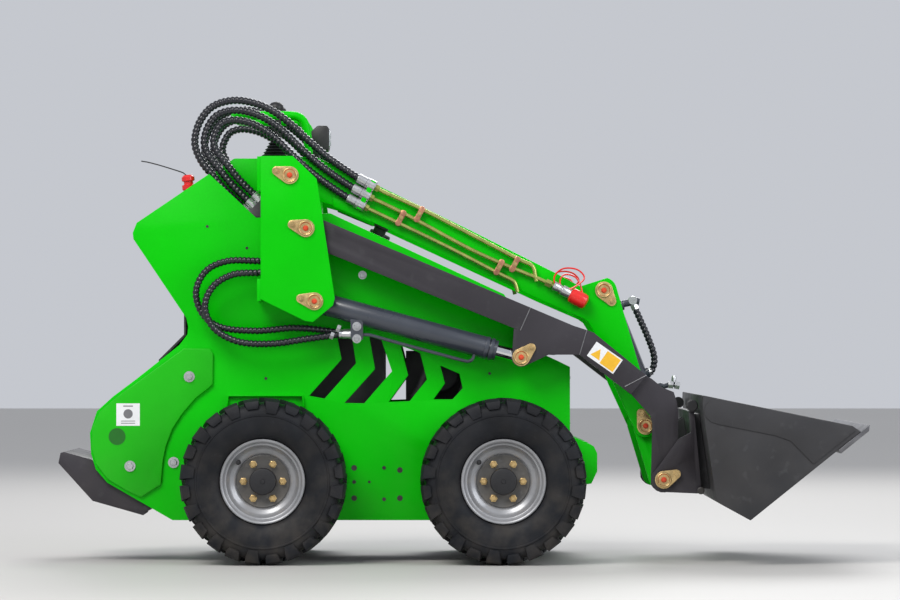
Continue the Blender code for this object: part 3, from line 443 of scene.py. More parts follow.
def rim(side, x, end, tag):
    """Flanged barrel, dark bolted disc, six nuts, hub cap and valve."""
    body = "wheel_{}_{}".format(end, tag)
    out = aim((x, side * WHEEL_Y, AXLE_Z), (0, side, 0))
    bm = bmesh.new()
    add_lathe(bm, [
        (0, 0.044), (0.0735, 0.044), (0.0750, 0.0500), (0.0790, 0.0535), (0.0870, 0.0570),
        (0.0935, 0.0620), (0.0975, 0.0700), (0.0990, 0.0750), (0.1015, 0.0768),
        (0.1035, 0.0768), (0.1055, 0.0785), (0.1080, 0.0835), (0.1110, 0.0862),
        (0.1140, 0.0866), (0.1160, 0.0848), (0.1164, 0.0815), (0.1150, 0.0775),
        (0.1100, 0.0720), (0.1012, 0.0655), (0.1012, 0.0340), (0.0980, 0.0250),
        (0.0980, -0.0300), (0.1012, -0.0440), (0.1012, -0.0655), (0.1100, -0.0720),
        (0.1160, -0.0800), (0.1160, -0.0848), (0.1110, -0.0866), (0.1055, -0.0800),
        (0.0970, -0.0680), (0.0930, -0.0300), (0.0930, 0.0200), (0.0870, 0.0370),
        (0.0240, 0.0380), (0.0240, 0.0430), (0, 0.0430)], out, 72)
    piece(body.replace("wheel", "rim") + "_look", bm, SILVER, body,
          (body.replace("wheel", "rim"),), sharp=40)
    bm = bmesh.new()
    add_lathe(bm, [(0.036, 0.0445), (0.0728, 0.0445), (0.0728, 0.0475), (0.0700, 0.0486),
                   (0.0650, 0.0470), (0.0400, 0.0470), (0.036, 0.0470)], out, 56)
    piece(body + "_disc", bm, DISC, body)
    bm = bmesh.new()
    add_lathe(bm, [(0, 0.0450), (0.0370, 0.0450), (0.0370, 0.0680), (0.0350, 0.0712),
                   (0.0320, 0.0722), (0.0065, 0.0722), (0.0055, 0.0740), (0, 0.0740)], out, 40)
    valve = out @ Matrix.Rotation(radians(142), 4, "Z") @ Matrix.Translation((0.0855, 0, 0.0540))
    add_lathe(bm, [(0, 0), (0.0075, 0), (0.0075, 0.004), (0.0045, 0.007), (0.0040, 0.020),
                   (0.0046, 0.020), (0.0046, 0.028), (0, 0.029)], valve, 14)
    piece(body + "_cap", bm, MOULDED, body)
    bm = bmesh.new()
    for k in range(6):
        spot = (out @ Matrix.Rotation(radians(60 * k), 4, "Z")
                @ Matrix.Translation((0.0535, 0, 0.047)))
        add_lathe(bm, [(0, 0), (0.0108, 0), (0.0108, 0.0015), (0.0088, 0.0022), (0.0088, 0.0085),
                       (0.0076, 0.0098), (0, 0.0098)], spot, 6)
        add_lathe(bm, [(0, 0.009), (0.0048, 0.009), (0.0044, 0.0150), (0, 0.0154)], spot, 12)
    piece(body + "_nuts", bm, GOLD, body)


for side, tag in SIDES:
    for end, x in AXLES:
        tyre(side, x, end, tag)
        rim(side, x, end, tag)


# ---- pin retainers ---------------------------------------------------------------------------
def retainer(name, point, y, ear, body):
    """A teardrop plate with a raised ring, a coloured cap and one bolt on its ear."""
    side = 1 if y > 0 else -1
    length = hypot(*ear)
    ear = (ear[0] / length * 0.038, ear[1] / length * 0.038)
    lean = atan2(ear[1], ear[0])
    bm = bmesh.new()
    outline = [(point[0] + 0.0245 * cos(lean + pi / 2 - 0.25 + (pi + 0.5) * k / 20),
                point[1] + 0.0245 * sin(lean + pi / 2 - 0.25 + (pi + 0.5) * k / 20))
               for k in range(21)]
    outline += [(point[0] + ear[0] + 0.0125 * cos(lean - pi / 2 + 0.25 + (pi - 0.5) * k / 12),
                 point[1] + ear[1] + 0.0125 * sin(lean - pi / 2 + 0.25 + (pi - 0.5) * k / 12))
                for k in range(13)]
    y0 = y + side * 0.0002
    add_prism(bm, outline, y0, y0 + side * 0.005)
    out = aim(at(point, y0), (0, side, 0))
    add_lathe(bm, [(0.0150, 0.004), (0.0205, 0.004), (0.0210, 0.0085), (0.0190, 0.0105),
                   (0.0170, 0.0100), (0.0150, 0.0070)], out, 36)
    piece(name + "_plate", bm, GOLD, body, bevel=0.0007)
    bm = bmesh.new()
    add_lathe(bm, [(0, 0.0045), (0.0160, 0.0045), (0.0150, 0.0062), (0.0085, 0.0066),
                   (0.0078, 0.0066), (0, 0.0066)], out, 28)
    add_bolt(bm, (point[0] + ear[0], y0 + side * 0.005, point[1] + ear[1]), (0, side, 0), 0.0062,
             roll=rng.random())
    piece(name + "_bolt", bm, GOLD, body)
    bm = bmesh.new()
    add_lathe(bm, [(0, 0.0060), (0.0076, 0.0060), (0.0074, 0.0100), (0.0050, 0.0125),
                   (0, 0.0135)], out, 20)
    piece(name + "_cap", bm, ORANGE, body)


for side, tag in SIDES:
    for name, point, y, ear, body in (
            ("pin_a", A, TOWER_Y, (-1.0, 0.33), "chassis"),
            ("pin_b", B, TOWER_Y, (-1.0, 0.27), "chassis"),
            ("pin_l", L, TOWER_Y, (-1.0, 0.20), "chassis"),
            ("pin_r", R, LOWER_ARM_Y, (0.86, 0.80), "lower_arms"),
            ("pin_e", E, UPPER_ARM_Y, (0.70, -1.0), "upper_arms"),
            ("pin_c", C, UPPER_ARM_Y, (-0.34, 1.0), "upper_arms"),
            ("pin_d", D, HITCH_Y + 0.0062, (1.0, 0.46), "link")):
        retainer(name + "_" + tag, point, side * y, ear, body)


# ---- hoses -----------------------------------------------------------------------------------
HOOD_FACE = (-0.600, 0.957)
HOOD_FIRST_LINE = 0.016
HOOD_LINE_Y, HOOD_LINE_PITCH = 0.227, 0.0245
ARCH = [(-0.3095, 1.0834), (-0.3714, 1.1270), (-0.4292, 1.1779), (-0.4600, 1.2075),
        (-0.505, 1.243), (-0.560, 1.2705), (-0.625, 1.2815), (-0.685, 1.265), (-0.722, 1.222),
        (-0.736, 1.165), (-0.7186, 1.1140), (-0.684, 1.0700), (-0.6470, 1.0266)]
LINE_END, LINE_PITCH, LINE_Y = (-0.2500, 1.0480), 0.031, 0.238
LINE_DOWN = Vector((cos(radians(-28)), sin(radians(-28))))
LINE_UP = Vector((-LINE_DOWN.y, LINE_DOWN.x))
PORT_X, PORT_Z = -0.300, 0.634
UPPER_LOOP = [
    (-0.470, 0.2503, 0.833), (-0.470, 0.268, 0.833), (-0.490, 0.295, 0.833),
    (-0.555, 0.300, 0.833), (-0.640, 0.298, 0.833), (-0.700, 0.296, 0.806),
    (-0.728, 0.294, 0.750), (-0.712, 0.292, 0.690), (-0.660, 0.292, 0.650),
    (-0.560, 0.292, 0.640), (-0.460, 0.292, 0.648), (-0.380, 0.292, 0.642),
    (PORT_X - 0.026, 0.292, PORT_Z), (PORT_X - 0.0003, 0.292, PORT_Z)]
LOWER_LOOP = [
    (-0.470, 0.2503, 0.800), (-0.470, 0.270, 0.800), (-0.492, 0.302, 0.800),
    (-0.555, 0.316, 0.800), (-0.625, 0.318, 0.795), (-0.680, 0.318, 0.762),
    (-0.702, 0.318, 0.705), (-0.676, 0.316, 0.646), (-0.610, 0.316, 0.610),
    (-0.520, 0.316, 0.604), (-0.430, 0.316, 0.616), (PORT_X - 0.030, 0.316, PORT_Z - 0.004),
    (PORT_X - 0.0003, 0.316, PORT_Z - 0.004)]


def on_lines(k, along, side=1):
    """A point on line k of the upper arm, this far down it from the block's rear face."""
    point = Vector(LINE_END) - LINE_UP * LINE_PITCH * k + LINE_DOWN * along
    return (point.x, side * LINE_Y, point.y)


def arch_route(k):
    diagonal = Vector((-1.0, 1.0)).normalized()
    across = Vector((1.0, 1.0)).normalized()
    face = Vector(HOOD_FACE) + across * HOOD_FIRST_LINE
    base = [Vector(LINE_END)] + [Vector(p) for p in ARCH] + [face]
    route = [on_lines(k, -0.0003), on_lines(k, -0.026)]
    for n in range(1, len(base) - 1):
        ahead = (base[n + 1] - base[n - 1]).normalized()
        share = (n - 1) / (len(ARCH) - 1)
        inward = Vector((-ahead.y, ahead.x)) * k
        point = base[n] + inward * (LINE_PITCH + (HOOD_LINE_PITCH - LINE_PITCH) * share)
        y = LINE_Y + (HOOD_LINE_Y - LINE_Y) * min(1.0, max(0.0, 2.4 * share - 0.8))
        route.append((point.x, y, point.y))
    for reach in (0.028, 0.0003):
        point = face + across * HOOD_LINE_PITCH * k + diagonal * reach
        route.append((point.x, HOOD_LINE_Y, point.y))
    return route


for side, tag in SIDES:
    for k in range(3):
        bm = bmesh.new()
        add_tube(bm, mirrored(arch_route(k), side), 0.0110, 16, 0.0024, wrap=0.26)
        node = "arch_hose_{}_{}".format(tag, k + 1)
        piece(node + "_look", bm, HOSE, None, (node,), sharp=80,
              blend=("upper_arms", "chassis", (-0.300, 0, 1.1), (-0.700, 0, 1.1)))
    for k, route in enumerate((UPPER_LOOP, LOWER_LOOP)):
        bm = bmesh.new()
        add_tube(bm, mirrored(route, side), 0.0100, 16, 0.0024, wrap=0.26)
        node = "lift_hose_{}_{}".format(tag, k + 1)
        piece(node + "_look", bm, HOSE, None, (node,), sharp=80,
              blend=("chassis", "lift_barrel_" + tag, (-0.66, 0, 0.75), (PORT_X - 0.02, 0, 0.63)))


# ---- hydraulic fittings, lines and couplers --------------------------------------------------
STEEL_LINES = [
    [(-0.205, 1.0240), (-0.102, 0.977), (0.030, 0.909), (0.161, 0.841),
     (0.202, 0.821), (0.211, 0.793), (0.214, 0.778)],
    [(-0.200, 0.9890), (-0.134, 0.956), (0.041, 0.862), (0.179, 0.802),
     (0.202, 0.793), (0.236, 0.778), (0.262, 0.766)],
    [(-0.214, 0.9610), (-0.168, 0.939), (-0.030, 0.872), (0.101, 0.804),
     (0.148, 0.780), (0.158, 0.764), (0.162, 0.748)]]
CLAMPS = ((-0.1110, 0.9640), (-0.1627, 0.9535), (0.1540, 0.8250), (0.1102, 0.8170))
for side, tag in SIDES:
    bm = bmesh.new()
    for k, line in enumerate(STEEL_LINES):
        start = [on_lines(k, 0.0142, side), on_lines(k, 0.028, side)]
        add_tube(bm, start + [(x, side * LINE_Y, z) for x, z in line], 0.0058, 12, 0.006)
        add_lathe(bm, [(0, 0), (0.0098, 0), (0.0104, 0.002), (0.0104, 0.009), (0.0088, 0.011),
                       (0, 0.011)],
                  aim(on_lines(k, 0.0190, side), (LINE_DOWN.x, 0, LINE_DOWN.y)), 6)
    add_lathe(bm, [(0, 0), (0.0105, 0), (0.0112, 0.002), (0.0112, 0.016), (0.0095, 0.018),
                   (0, 0.018)], aim((0.240, side * LINE_Y, 0.776), (0.88, 0, -0.42)), 6)
    piece("steel_lines_" + tag, bm, LINE, "upper_arms")
    bm = bmesh.new()
    for k in range(3):
        end = aim(on_lines(k, -0.0002, side), (-LINE_DOWN.x, 0, -LINE_DOWN.y))
        add_lathe(bm, [(0.0112, 0.010), (0.0136, 0.010), (0.0140, 0.012), (0.0134, 0.0145),
                       (0.0140, 0.017), (0.0134, 0.0195), (0.0140, 0.022), (0.0134, 0.0245),
                       (0.0140, 0.027), (0.0134, 0.0295), (0.0140, 0.032), (0.0132, 0.036),
                       (0.0112, 0.036)], end, 24)
        add_lathe(bm, [(0.0, -0.019), (0.0140, -0.019), (0.0157, -0.017), (0.0160, -0.0145),
                       (0.0160, 0.0005), (0.0150, 0.0015), (0.0150, 0.009), (0.0112, 0.010),
                       (0.0112, -0.0005), (0.0, -0.0005)], end, 24)
    piece("arch_ferrules_" + tag, bm, STEEL, "upper_arms")
    bm = bmesh.new()
    for k in range(3):
        along_face = HOOD_FIRST_LINE + HOOD_LINE_PITCH * k
        spot = (HOOD_FACE[0] + along_face * cos(pi / 4), side * HOOD_LINE_Y,
                HOOD_FACE[1] + along_face * sin(pi / 4))
        add_lathe(bm, [(0.0108, 0.0002), (0.0121, 0.0002), (0.0121, 0.010), (0.0116, 0.012),
                       (0.0116, 0.024), (0.0108, 0.025)], aim(spot, (-1, 0, 1)), 24)
    for z in (0.833, 0.800):
        add_lathe(bm, [(0.0102, 0), (0.0165, 0), (0.0165, 0.006), (0.0135, 0.008),
                       (0.0135, 0.016), (0.0102, 0.016)],
                  aim((-0.470, side * (PLATE_Y + 0.0002), z), (0, side, 0)), 24)
    piece("hood_fittings_" + tag, bm, STEEL, "chassis")
    bm = bmesh.new()
    for y, z in ((0.292, PORT_Z), (0.316, PORT_Z - 0.004)):
        add_lathe(bm, [(0.0100, 0), (0.0118, 0), (0.0118, 0.020), (0.0108, 0.024),
                       (0.0108, 0.032), (0.0100, 0.032)],
                  aim((PORT_X - 0.0002, side * y, z), (-1, 0, 0)), 20)
    for x, y, z in ((-0.283, 0.3272, 0.618), (-0.283, 0.3272, 0.652)):
        add_bolt(bm, (x, side * y, z), (0, side, 0), 0.0085, 0.3)
    for x, z in ((-0.338, 0.648), (-0.356, 0.628)):
        add_lathe(bm, [(0, 0), (0.011, 0), (0.011, 0.010), (0, 0.011)],
                  aim((x, side * 0.330, z), (0.9, 0, -0.35)), 6)
    piece("port_fittings_" + tag, bm, STEEL, "lift_barrel_" + tag)
    bm = bmesh.new()
    pipe = [(-0.266, 0.629), (-0.250, 0.629), (-0.160, 0.604), (-0.060, 0.577), (0.010, 0.558),
            (0.026, 0.556), (0.037, 0.562), (0.041, 0.575)]
    add_tube(bm, [(x, side * 0.316, z) for x, z in pipe], 0.0048, 10, 0.006)
    ahead = Vector((R[0] - L[0], 0, R[1] - L[1])).normalized()
    for s, grow in ((0.486, 0.0012), (0.500, 0.0004)):
        add_lathe(bm, [(0.026, 0), (0.0308 + grow, 0), (0.0312 + grow, 0.0015),
                       (0.0308 + grow, 0.010), (0.026, 0.010)],
                  aim(Vector((L[0], side * LIFT_Y, L[1])) + ahead * s, ahead), 36)
    port = Vector((0.041, side * 0.303, 0.582))
    add_lathe(bm, [(0, 0), (0.012, 0), (0.012, 0.016), (0, 0.016)], aim(port, (0.26, 0, 0.96)), 16)
    piece("lift_pipe_" + tag, bm, SLATE_PAINT_SKY_TINT, "lift_barrel_" + tag)
    bm = bmesh.new()
    for x, z in CLAMPS:
        outline = []
        for end in (1, -1):
            for k in range(9):
                turn = radians(-125 + 250 * k / 8)
                u, v = end * (LINE_PITCH / 2 + 0.0092 * cos(turn)), end * 0.0092 * sin(turn)
                outline.append((x + LINE_UP.x * u + LINE_UP.y * v,
                                z + LINE_UP.y * u - LINE_UP.x * v))
        add_prism(bm, outline, side * (UPPER_ARM_Y + 0.0004), side * (UPPER_ARM_Y + 0.0205))
    piece("line_clamps_" + tag, bm, COPPER, "upper_arms", bevel=0.0022)
    bm = bmesh.new()
    for x, z in CLAMPS:
        add_bolt(bm, (x, side * (UPPER_ARM_Y + 0.0207), z), (0, side, 0), 0.0046, 0.2)
    piece("clamp_bolts_" + tag, bm, GOLD, "upper_arms")
    along = Vector((0.88, 0, -0.47)).normalized()
    start = Vector((0.262, side * (LINE_Y + 0.004), 0.7665))
    bm = bmesh.new()
    add_lathe(bm, [(0, 0), (0.0130, 0), (0.0130, 0.014), (0.0118, 0.016), (0.0118, 0.024),
                   (0.0150, 0.026), (0.0150, 0.046), (0.0138, 0.048), (0.0138, 0.060),
                   (0, 0.060)], aim(start, along), 28)
    piece("aux_coupler_" + tag, bm, STEEL, "upper_arms")
    bm = bmesh.new()
    add_lathe(bm, [(0, 0.052), (0.0160, 0.052), (0.0205, 0.056), (0.0215, 0.066),
                   (0.0215, 0.092), (0.0195, 0.100), (0.0120, 0.104), (0, 0.105)],
              aim(start, along), 36)
    tip = start + along * 0.085
    loops = [tip + Vector((0.005, 0, 0.018)), tip + Vector((0.000, 0, 0.040)),
             tip + Vector((-0.016, 0, 0.064)), tip + Vector((-0.045, 0, 0.070)),
             tip + Vector((-0.058, 0, 0.050)), tip + Vector((-0.046, side * 0.004, 0.030)),
             tip + Vector((-0.020, side * 0.008, 0.034)),
             tip + Vector((0.010, side * 0.006, 0.060)),
             tip + Vector((-0.010, 0, 0.084)), tip + Vector((-0.050, 0, 0.086)),
             tip + Vector((-0.074, 0, 0.060)), tip + Vector((-0.060, 0, 0.020)),
             tip + Vector((-0.052, 0, 0.014))]
    add_tube(bm, loops, 0.0024, 8, 0.005)
    piece("aux_dust_cap_" + tag, bm, RED, "upper_arms")

# the tilt cylinder's ports and its own hose, in front of the barrel
TILT_AHEAD = Vector((E[0] - F[0], 0, E[1] - F[1])).normalized() * -1
TILT_FRONT = Vector((-TILT_AHEAD.z, 0, TILT_AHEAD.x))


def on_tilt(along, out):
    return Vector((E[0], 0, E[1])) + TILT_AHEAD * along + TILT_FRONT * out


bm = bmesh.new()
add_tube(bm, [on_tilt(0.058, 0.034), on_tilt(0.056, 0.046), (0.484, 0, 0.722), (0.497, 0, 0.727),
              (0.511, 0, 0.724)], 0.0105, 12, 0.005)
for along, out in ((0.058, 0.037), (0.262, 0.037), (0.312, 0.034)):
    add_lathe(bm, [(0, -0.006), (0.0150, -0.006), (0.0150, 0.006), (0.0130, 0.008), (0, 0.008)],
              aim(on_tilt(along, out), TILT_FRONT), 18)
add_tube(bm, [on_tilt(0.312, 0.034), on_tilt(0.308, 0.058), (0.580, 0, 0.484), (0.602, 0, 0.490),
              (0.624, 0, 0.486)], 0.0072, 10, 0.005)
for along in (0.048, 0.285):
    start = on_tilt(along, 0)
    add_lathe(bm, [(0.034, 0), (0.0392, 0), (0.0396, 0.0015), (0.0392, 0.012), (0.034, 0.012)],
              aim(start, TILT_AHEAD), 40)
piece("tilt_ports", bm, SLATE_PAINT_SKY_TINT, "tilt_barrel")
bm = bmesh.new()
add_lathe(bm, [(0, -0.012), (0.0120, -0.012), (0.0130, -0.008), (0.0130, 0.008),
               (0.0120, 0.012), (0, 0.012)], aim((0.492, 0, 0.7275), (0, 1, 0)), 18)
for point, way in (((0.4975, 0, 0.7085), (0.38, 0, -0.92)), ((0.541, 0, 0.5245), (-0.5, 0, -0.25)),
                   ((0.600, 0, 0.4885), (0.9, 0, -0.1)), ((0.618, 0, 0.4865), (0.9, 0, -0.2))):
    add_lathe(bm, [(0, -0.007), (0.0112, -0.007), (0.0118, -0.005), (0.0118, 0.007), (0, 0.008)],
              aim(point, way), 6)
add_lathe(bm, [(0, 0), (0.0070, 0), (0.0070, 0.014), (0.0050, 0.018), (0, 0.019)],
          aim((0.608, 0, 0.496), (0.1, 0, 1)), 14)
piece("tilt_fittings", bm, STEEL, "tilt_barrel")
bm = bmesh.new()
add_tube(bm, [(0.4955, 0, 0.7130), (0.4985, 0, 0.7060), (0.515, 0, 0.669), (0.533, 0, 0.628),
              (0.549, 0, 0.585), (0.5535, 0, 0.556), (0.5480, 0, 0.533), (0.538, 0, 0.5225),
              (0.531, 0, 0.519)], 0.0098, 16, 0.0022, wrap=0.26)
piece("tilt_hose", bm, HOSE, "tilt_barrel", sharp=80)

# ---- chassis trim ----------------------------------------------------------------------------
for side, tag in SIDES:
    plate = side * (PLATE_Y + 0.0002)
    bm = bmesh.new()
    for x, z in ((-0.749, 0.513), (-0.913, 0.265)):
        add_bolt(bm, (x, side * (COVER_Y + 0.0002), z), (0, side, 0), 0.0105, rng.random())
    add_bolt(bm, (-0.793, plate, 0.275), (0, side, 0), 0.0105, 0.4)
    add_bolt(bm, (-0.269, plate, 0.795), (0, side, 0), 0.0080, 0.1)
    piece("side_bolts_" + tag, bm, STEEL, "chassis")
    # thin black discs on the side plate: painted shade inside its holes
    bm = bmesh.new()
    for x, z, r in ((-0.537, 0.508, 0.004), (0.084, 0.522, 0.004), (-0.292, 0.260, 0.008),
                    (-0.292, 0.221, 0.0055), (-0.292, 0.176, 0.008), (-0.209, 0.260, 0.0055),
                    (-0.165, 0.254, 0.008), (-0.209, 0.173, 0.0055), (-0.165, 0.176, 0.008),
                    (-0.250, 0.221, 0.004), (-0.590, 0.870, 0.004), (-0.700, 0.930, 0.004)):
        add_lathe(bm, [(0, 0), (r, 0), (r, 0.0003), (0, 0.0003)], aim((x, plate, z), (0, side, 0)),
                  20)
    piece("plate_hole_shade_" + tag, bm, BLACK, "chassis")
    # a thin dark-green disc painted as the shade in a round recess of the rear cover
    bm = bmesh.new()
    add_lathe(bm, [(0, 0), (0.0235, 0), (0.0235, 0.0004), (0, 0.0004)],
              aim((-0.949, side * (COVER_Y + 0.0001), 0.347), (0, side, 0)), 36)
    piece("cover_recess_shade_" + tag, bm, RECESS_SHADE_GREEN, "chassis")
    bm = bmesh.new()
    add_box(bm, -0.951, -0.886, side * (COVER_Y + 0.0001), side * (COVER_Y + 0.0006), 0.377, 0.439)
    piece("blank_label_" + tag, bm, WHITE, "chassis")
    bm = bmesh.new()
    for x0, x1, z0, z1 in ((-0.932, -0.905, 0.430, 0.433), (-0.938, -0.899, 0.383, 0.385),
                           (-0.938, -0.899, 0.389, 0.391)):
        add_box(bm, x0, x1, side * (COVER_Y + 0.0006), side * (COVER_Y + 0.0008), z0, z1)
    add_lathe(bm, [(0.010, 0.0005), (0.013, 0.0005), (0.013, 0.0008), (0.010, 0.0008)],
              aim((-0.9185, side * COVER_Y, 0.410), (0, side, 0)), 24)
    piece("label_print_" + tag, bm, GREY, "chassis")
    bm = bmesh.new()
    strip = [(-0.646, 0.430), (-0.643, 0.462), (-0.433, 0.462), (-0.430, 0.430),
             (-0.4335, 0.430), (-0.4365, 0.4585), (-0.6395, 0.4585), (-0.6425, 0.430)]
    add_prism(bm, strip, plate, side * (PLATE_Y + 0.014))
    piece("fender_" + tag, bm, GREEN, "chassis", bevel=0.0008)
    bm = bmesh.new()
    for z, x0, x1 in ((0.742, -0.546, -0.480), (1.100, -0.546, -0.470)):
        add_tube(bm, [(x0, side * 0.3465, z), (x0 + 0.02, side * 0.3465, z),
                      (x1 - 0.02, side * 0.3465, z), (x1, side * 0.3465, z)], 0.003, 8, 0.008)
    piece("tower_welds_" + tag, bm, GREEN, "chassis")

# behind the slots of the side plates: pump, valve bank, and the hoses between them
bm = bmesh.new()
for side, _ in SIDES:
    add_lathe(bm, [(0, 0), (0.048, 0), (0.052, 0.004), (0.052, 0.056), (0.046, 0.062), (0, 0.062)],
              aim((-0.052, side * 0.105, 0.520), (0, side, 0)), 28)
    add_lathe(bm, [(0, 0), (0.034, 0), (0.034, 0.030), (0.028, 0.036), (0, 0.036)],
              aim((0.060, side * 0.120, 0.478), (0, side, 0)), 24)
    add_box(bm, -0.150, 0.115, side * 0.080, side * 0.104, 0.440, 0.585)
    add_tube(bm, [(-0.130, side * 0.185, 0.455), (-0.110, side * 0.190, 0.480),
                  (-0.075, side * 0.190, 0.560), (-0.040, side * 0.185, 0.600),
                  (-0.010, side * 0.180, 0.610)], 0.0125, 14, 0.006)
    add_tube(bm, [(0.000, side * 0.185, 0.440), (0.010, side * 0.190, 0.470),
                  (0.040, side * 0.190, 0.540), (0.080, side * 0.185, 0.560),
                  (0.110, side * 0.180, 0.560)], 0.0125, 14, 0.006)
piece("hydraulic_pump", bm, IRON, "chassis", bevel=0.001)

# hood: louvres and bolts along its slope, a filler cap and a breather
down_hood = Vector((0.479, 0, -0.224)).normalized()
out_hood = Vector((0.224, 0, 0.479)).normalized()
hood_top = Vector((-0.361, 0, 0.959))
bm = bmesh.new()
for k in range(7):
    centre = hood_top + down_hood * (0.27 + 0.030 * k) + out_hood * 0.0002
    add_block(bm, aim(centre, out_hood + down_hood * 0.25), 0.085, 0.008, 0.0, 0.005)
for x in (-0.12, 0.12):
    add_bolt(bm, hood_top + down_hood * 0.06 + Vector((0, x, 0)) + out_hood * 0.0002, out_hood,
             0.008)
    add_bolt(bm, hood_top + down_hood * 0.50 + Vector((0, x, 0)) + out_hood * 0.0002, out_hood,
             0.008)
piece("hood_louvres", bm, BLACK, "chassis", bevel=0.0008)
bm = bmesh.new()
add_lathe(bm, [(0, 0), (0.036, 0), (0.036, 0.004), (0.031, 0.006), (0.031, 0.020),
               (0.028, 0.024), (0, 0.026)],
          aim(hood_top + down_hood * 0.14 + Vector((0, 0.09, 0)) + out_hood * 0.0002, out_hood), 32)
add_lathe(bm, [(0, 0), (0.018, 0), (0.018, 0.030), (0.022, 0.032), (0.022, 0.050), (0, 0.054)],
          aim(hood_top + down_hood * 0.14 + Vector((0, -0.10, 0)) + out_hood * 0.0002, out_hood),
          24)
piece("filler_caps", bm, PLASTIC, "chassis")

# nose: a slatted grille and four bolts in the front panel above the step
bm = bmesh.new()
nose_x = 0.3002
for k in range(7):
    z = 0.385 + 0.020 * k
    add_prism(bm, [(nose_x, z), (nose_x + 0.006, z - 0.002), (nose_x + 0.006, z),
                   (nose_x, z + 0.008)], -0.170, 0.170)
piece("nose_grille", bm, BLACK, "chassis", bevel=0.0006)
bm = bmesh.new()
for y in (-0.205, 0.205):
    for z in (0.385, 0.510):
        add_bolt(bm, (nose_x, y, z), (1, 0, 0), 0.008, rng.random())
piece("nose_bolts", bm, STEEL, "chassis")

# rear panel: grille and four bolts
bm = bmesh.new()
rear_x = -0.8352
for k in range(9):
    z = 0.330 + 0.022 * k
    add_prism(bm, [(rear_x, z), (rear_x - 0.007, z - 0.003), (rear_x - 0.007, z),
                   (rear_x, z + 0.009)], -0.150, 0.150)
piece("rear_grille", bm, BLACK, "chassis", bevel=0.0006)
bm = bmesh.new()
for y in (-0.195, 0.195):
    for z in (0.335, 0.520):
        add_bolt(bm, (rear_x, y, z), (-1, 0, 0), 0.008, rng.random())
piece("rear_bolts", bm, STEEL, "chassis")

# operator's panel on the console's sloping rear face
panel_low, panel_high = Vector((-0.684, 0, 1.083)), Vector((-0.629, 0, 1.122))
up_panel = (panel_high - panel_low).normalized()
out_panel = Vector((-up_panel.z, 0, up_panel.x))
mid_panel = (panel_low + panel_high) / 2 + out_panel * 0.0002
bm = bmesh.new()
add_block(bm, Matrix.Translation(mid_panel) @ Matrix(
    ((0, up_panel.x, out_panel.x, 0), (1, 0, 0, 0), (0, up_panel.z, out_panel.z, 0),
     (0, 0, 0, 1))), 0.150, 0.027, 0.0, 0.002)
piece("operator_panel", bm, PLASTIC, "chassis", bevel=0.0006)
bm = bmesh.new()
for y in (-0.115, -0.065, 0.0):
    add_lathe(bm, [(0.0, 0.002), (0.022, 0.002), (0.022, 0.008), (0.019, 0.009), (0.018, 0.0065),
                   (0, 0.0065)], aim(mid_panel + Vector((0, y, 0)), out_panel), 28)
for y in (0.06, 0.10):
    add_lathe(bm, [(0, 0.002), (0.011, 0.002), (0.010, 0.006), (0.004, 0.007), (0.0035, 0.020),
                   (0, 0.021)], aim(mid_panel + Vector((0, y, 0)), out_panel), 16)
piece("gauges_and_switches", bm, STEEL, "chassis")
bm = bmesh.new()
for y in (-0.115, -0.065, 0.0):
    add_lathe(bm, [(0.0, 0.0066), (0.0175, 0.0066), (0.0175, 0.0069), (0, 0.0069)],
              aim(mid_panel + Vector((0, y, 0)), out_panel), 28)
piece("gauge_faces", bm, WHITE, "chassis")

# battery switch with its key and tie at the top of the right plate
bm = bmesh.new()
add_lathe(bm, [(0, 0), (0.016, 0), (0.016, 0.030), (0.019, 0.032), (0.019, 0.044), (0.013, 0.046),
               (0.013, 0.054), (0.018, 0.056), (0.018, 0.066), (0.012, 0.072), (0, 0.073)],
          aim((-0.750, -0.205, 1.003), (-0.10, 0, 0.99)), 24)
piece("battery_switch", bm, RED, "chassis")
bm = bmesh.new()
add_tube(bm, [(-0.757, -0.205, 1.070), (-0.768, -0.206, 1.080), (-0.800, -0.208, 1.091),
              (-0.840, -0.212, 1.103), (-0.872, -0.214, 1.111), (-0.886, -0.214, 1.113)], 0.0018, 6,
         0.008)
piece("switch_tie", bm, PLASTIC, "chassis")

# work lamp's lens, levers and the rail's feet
bm = bmesh.new()
add_prism(bm, [(-0.3679, 1.162), (-0.3650, 1.164), (-0.3650, 1.207), (-0.3679, 1.209)], -0.044,
          0.044)
piece("lamp_lens", bm, LENS, "chassis", bevel=0.001)
bm = bmesh.new()
for y in (-0.024, 0.0, 0.024):
    for z in (1.175, 1.196):
        add_lathe(bm, [(0.006, 0), (0.009, 0), (0.009, 0.0006), (0.006, 0.0006)],
                  aim((-0.3650, y, z), (1, 0, 0)), 18)
piece("lamp_cells", bm, STEEL, "chassis")
for side, tag in SIDES:
    bm = bmesh.new()
    base = aim((-0.515, side * 0.100, 1.1223), (0, 0, 1))
    bellows = [(0, 0), (0.044, 0), (0.044, 0.006)]
    for k in range(6):
        r = 0.042 - 0.0046 * k
        bellows += [(r - 0.005, 0.008 + 0.0085 * k), (r - 0.001, 0.0115 + 0.0085 * k)]
    add_lathe(bm, bellows + [(0.0065, 0.063), (0.0065, 0.124), (0.011, 0.126), (0.018, 0.132),
                             (0.0208, 0.142), (0.0200, 0.152), (0.0140, 0.160), (0, 0.164)],
              base, 36)
    node = "control_lever_" + tag
    piece(node + "_look", bm, MOULDED, "chassis", (node,), sharp=50)
bm = bmesh.new()
rail = [(-0.422, 0.165, 1.1223), (-0.422, 0.165, 1.1523), (-0.430, 0.165, 1.213),
        (-0.448, 0.165, 1.238), (-0.480, 0.165, 1.243), (-0.540, 0.165, 1.243),
        (-0.595, 0.165, 1.243), (-0.616, 0.159, 1.243), (-0.628, 0.135, 1.243),
        (-0.630, 0.085, 1.243), (-0.630, 0.0, 1.243)]
add_tube(bm, rail + [(x, -y, z) for x, y, z in rail[-2::-1]], 0.0123, 20, 0.008)
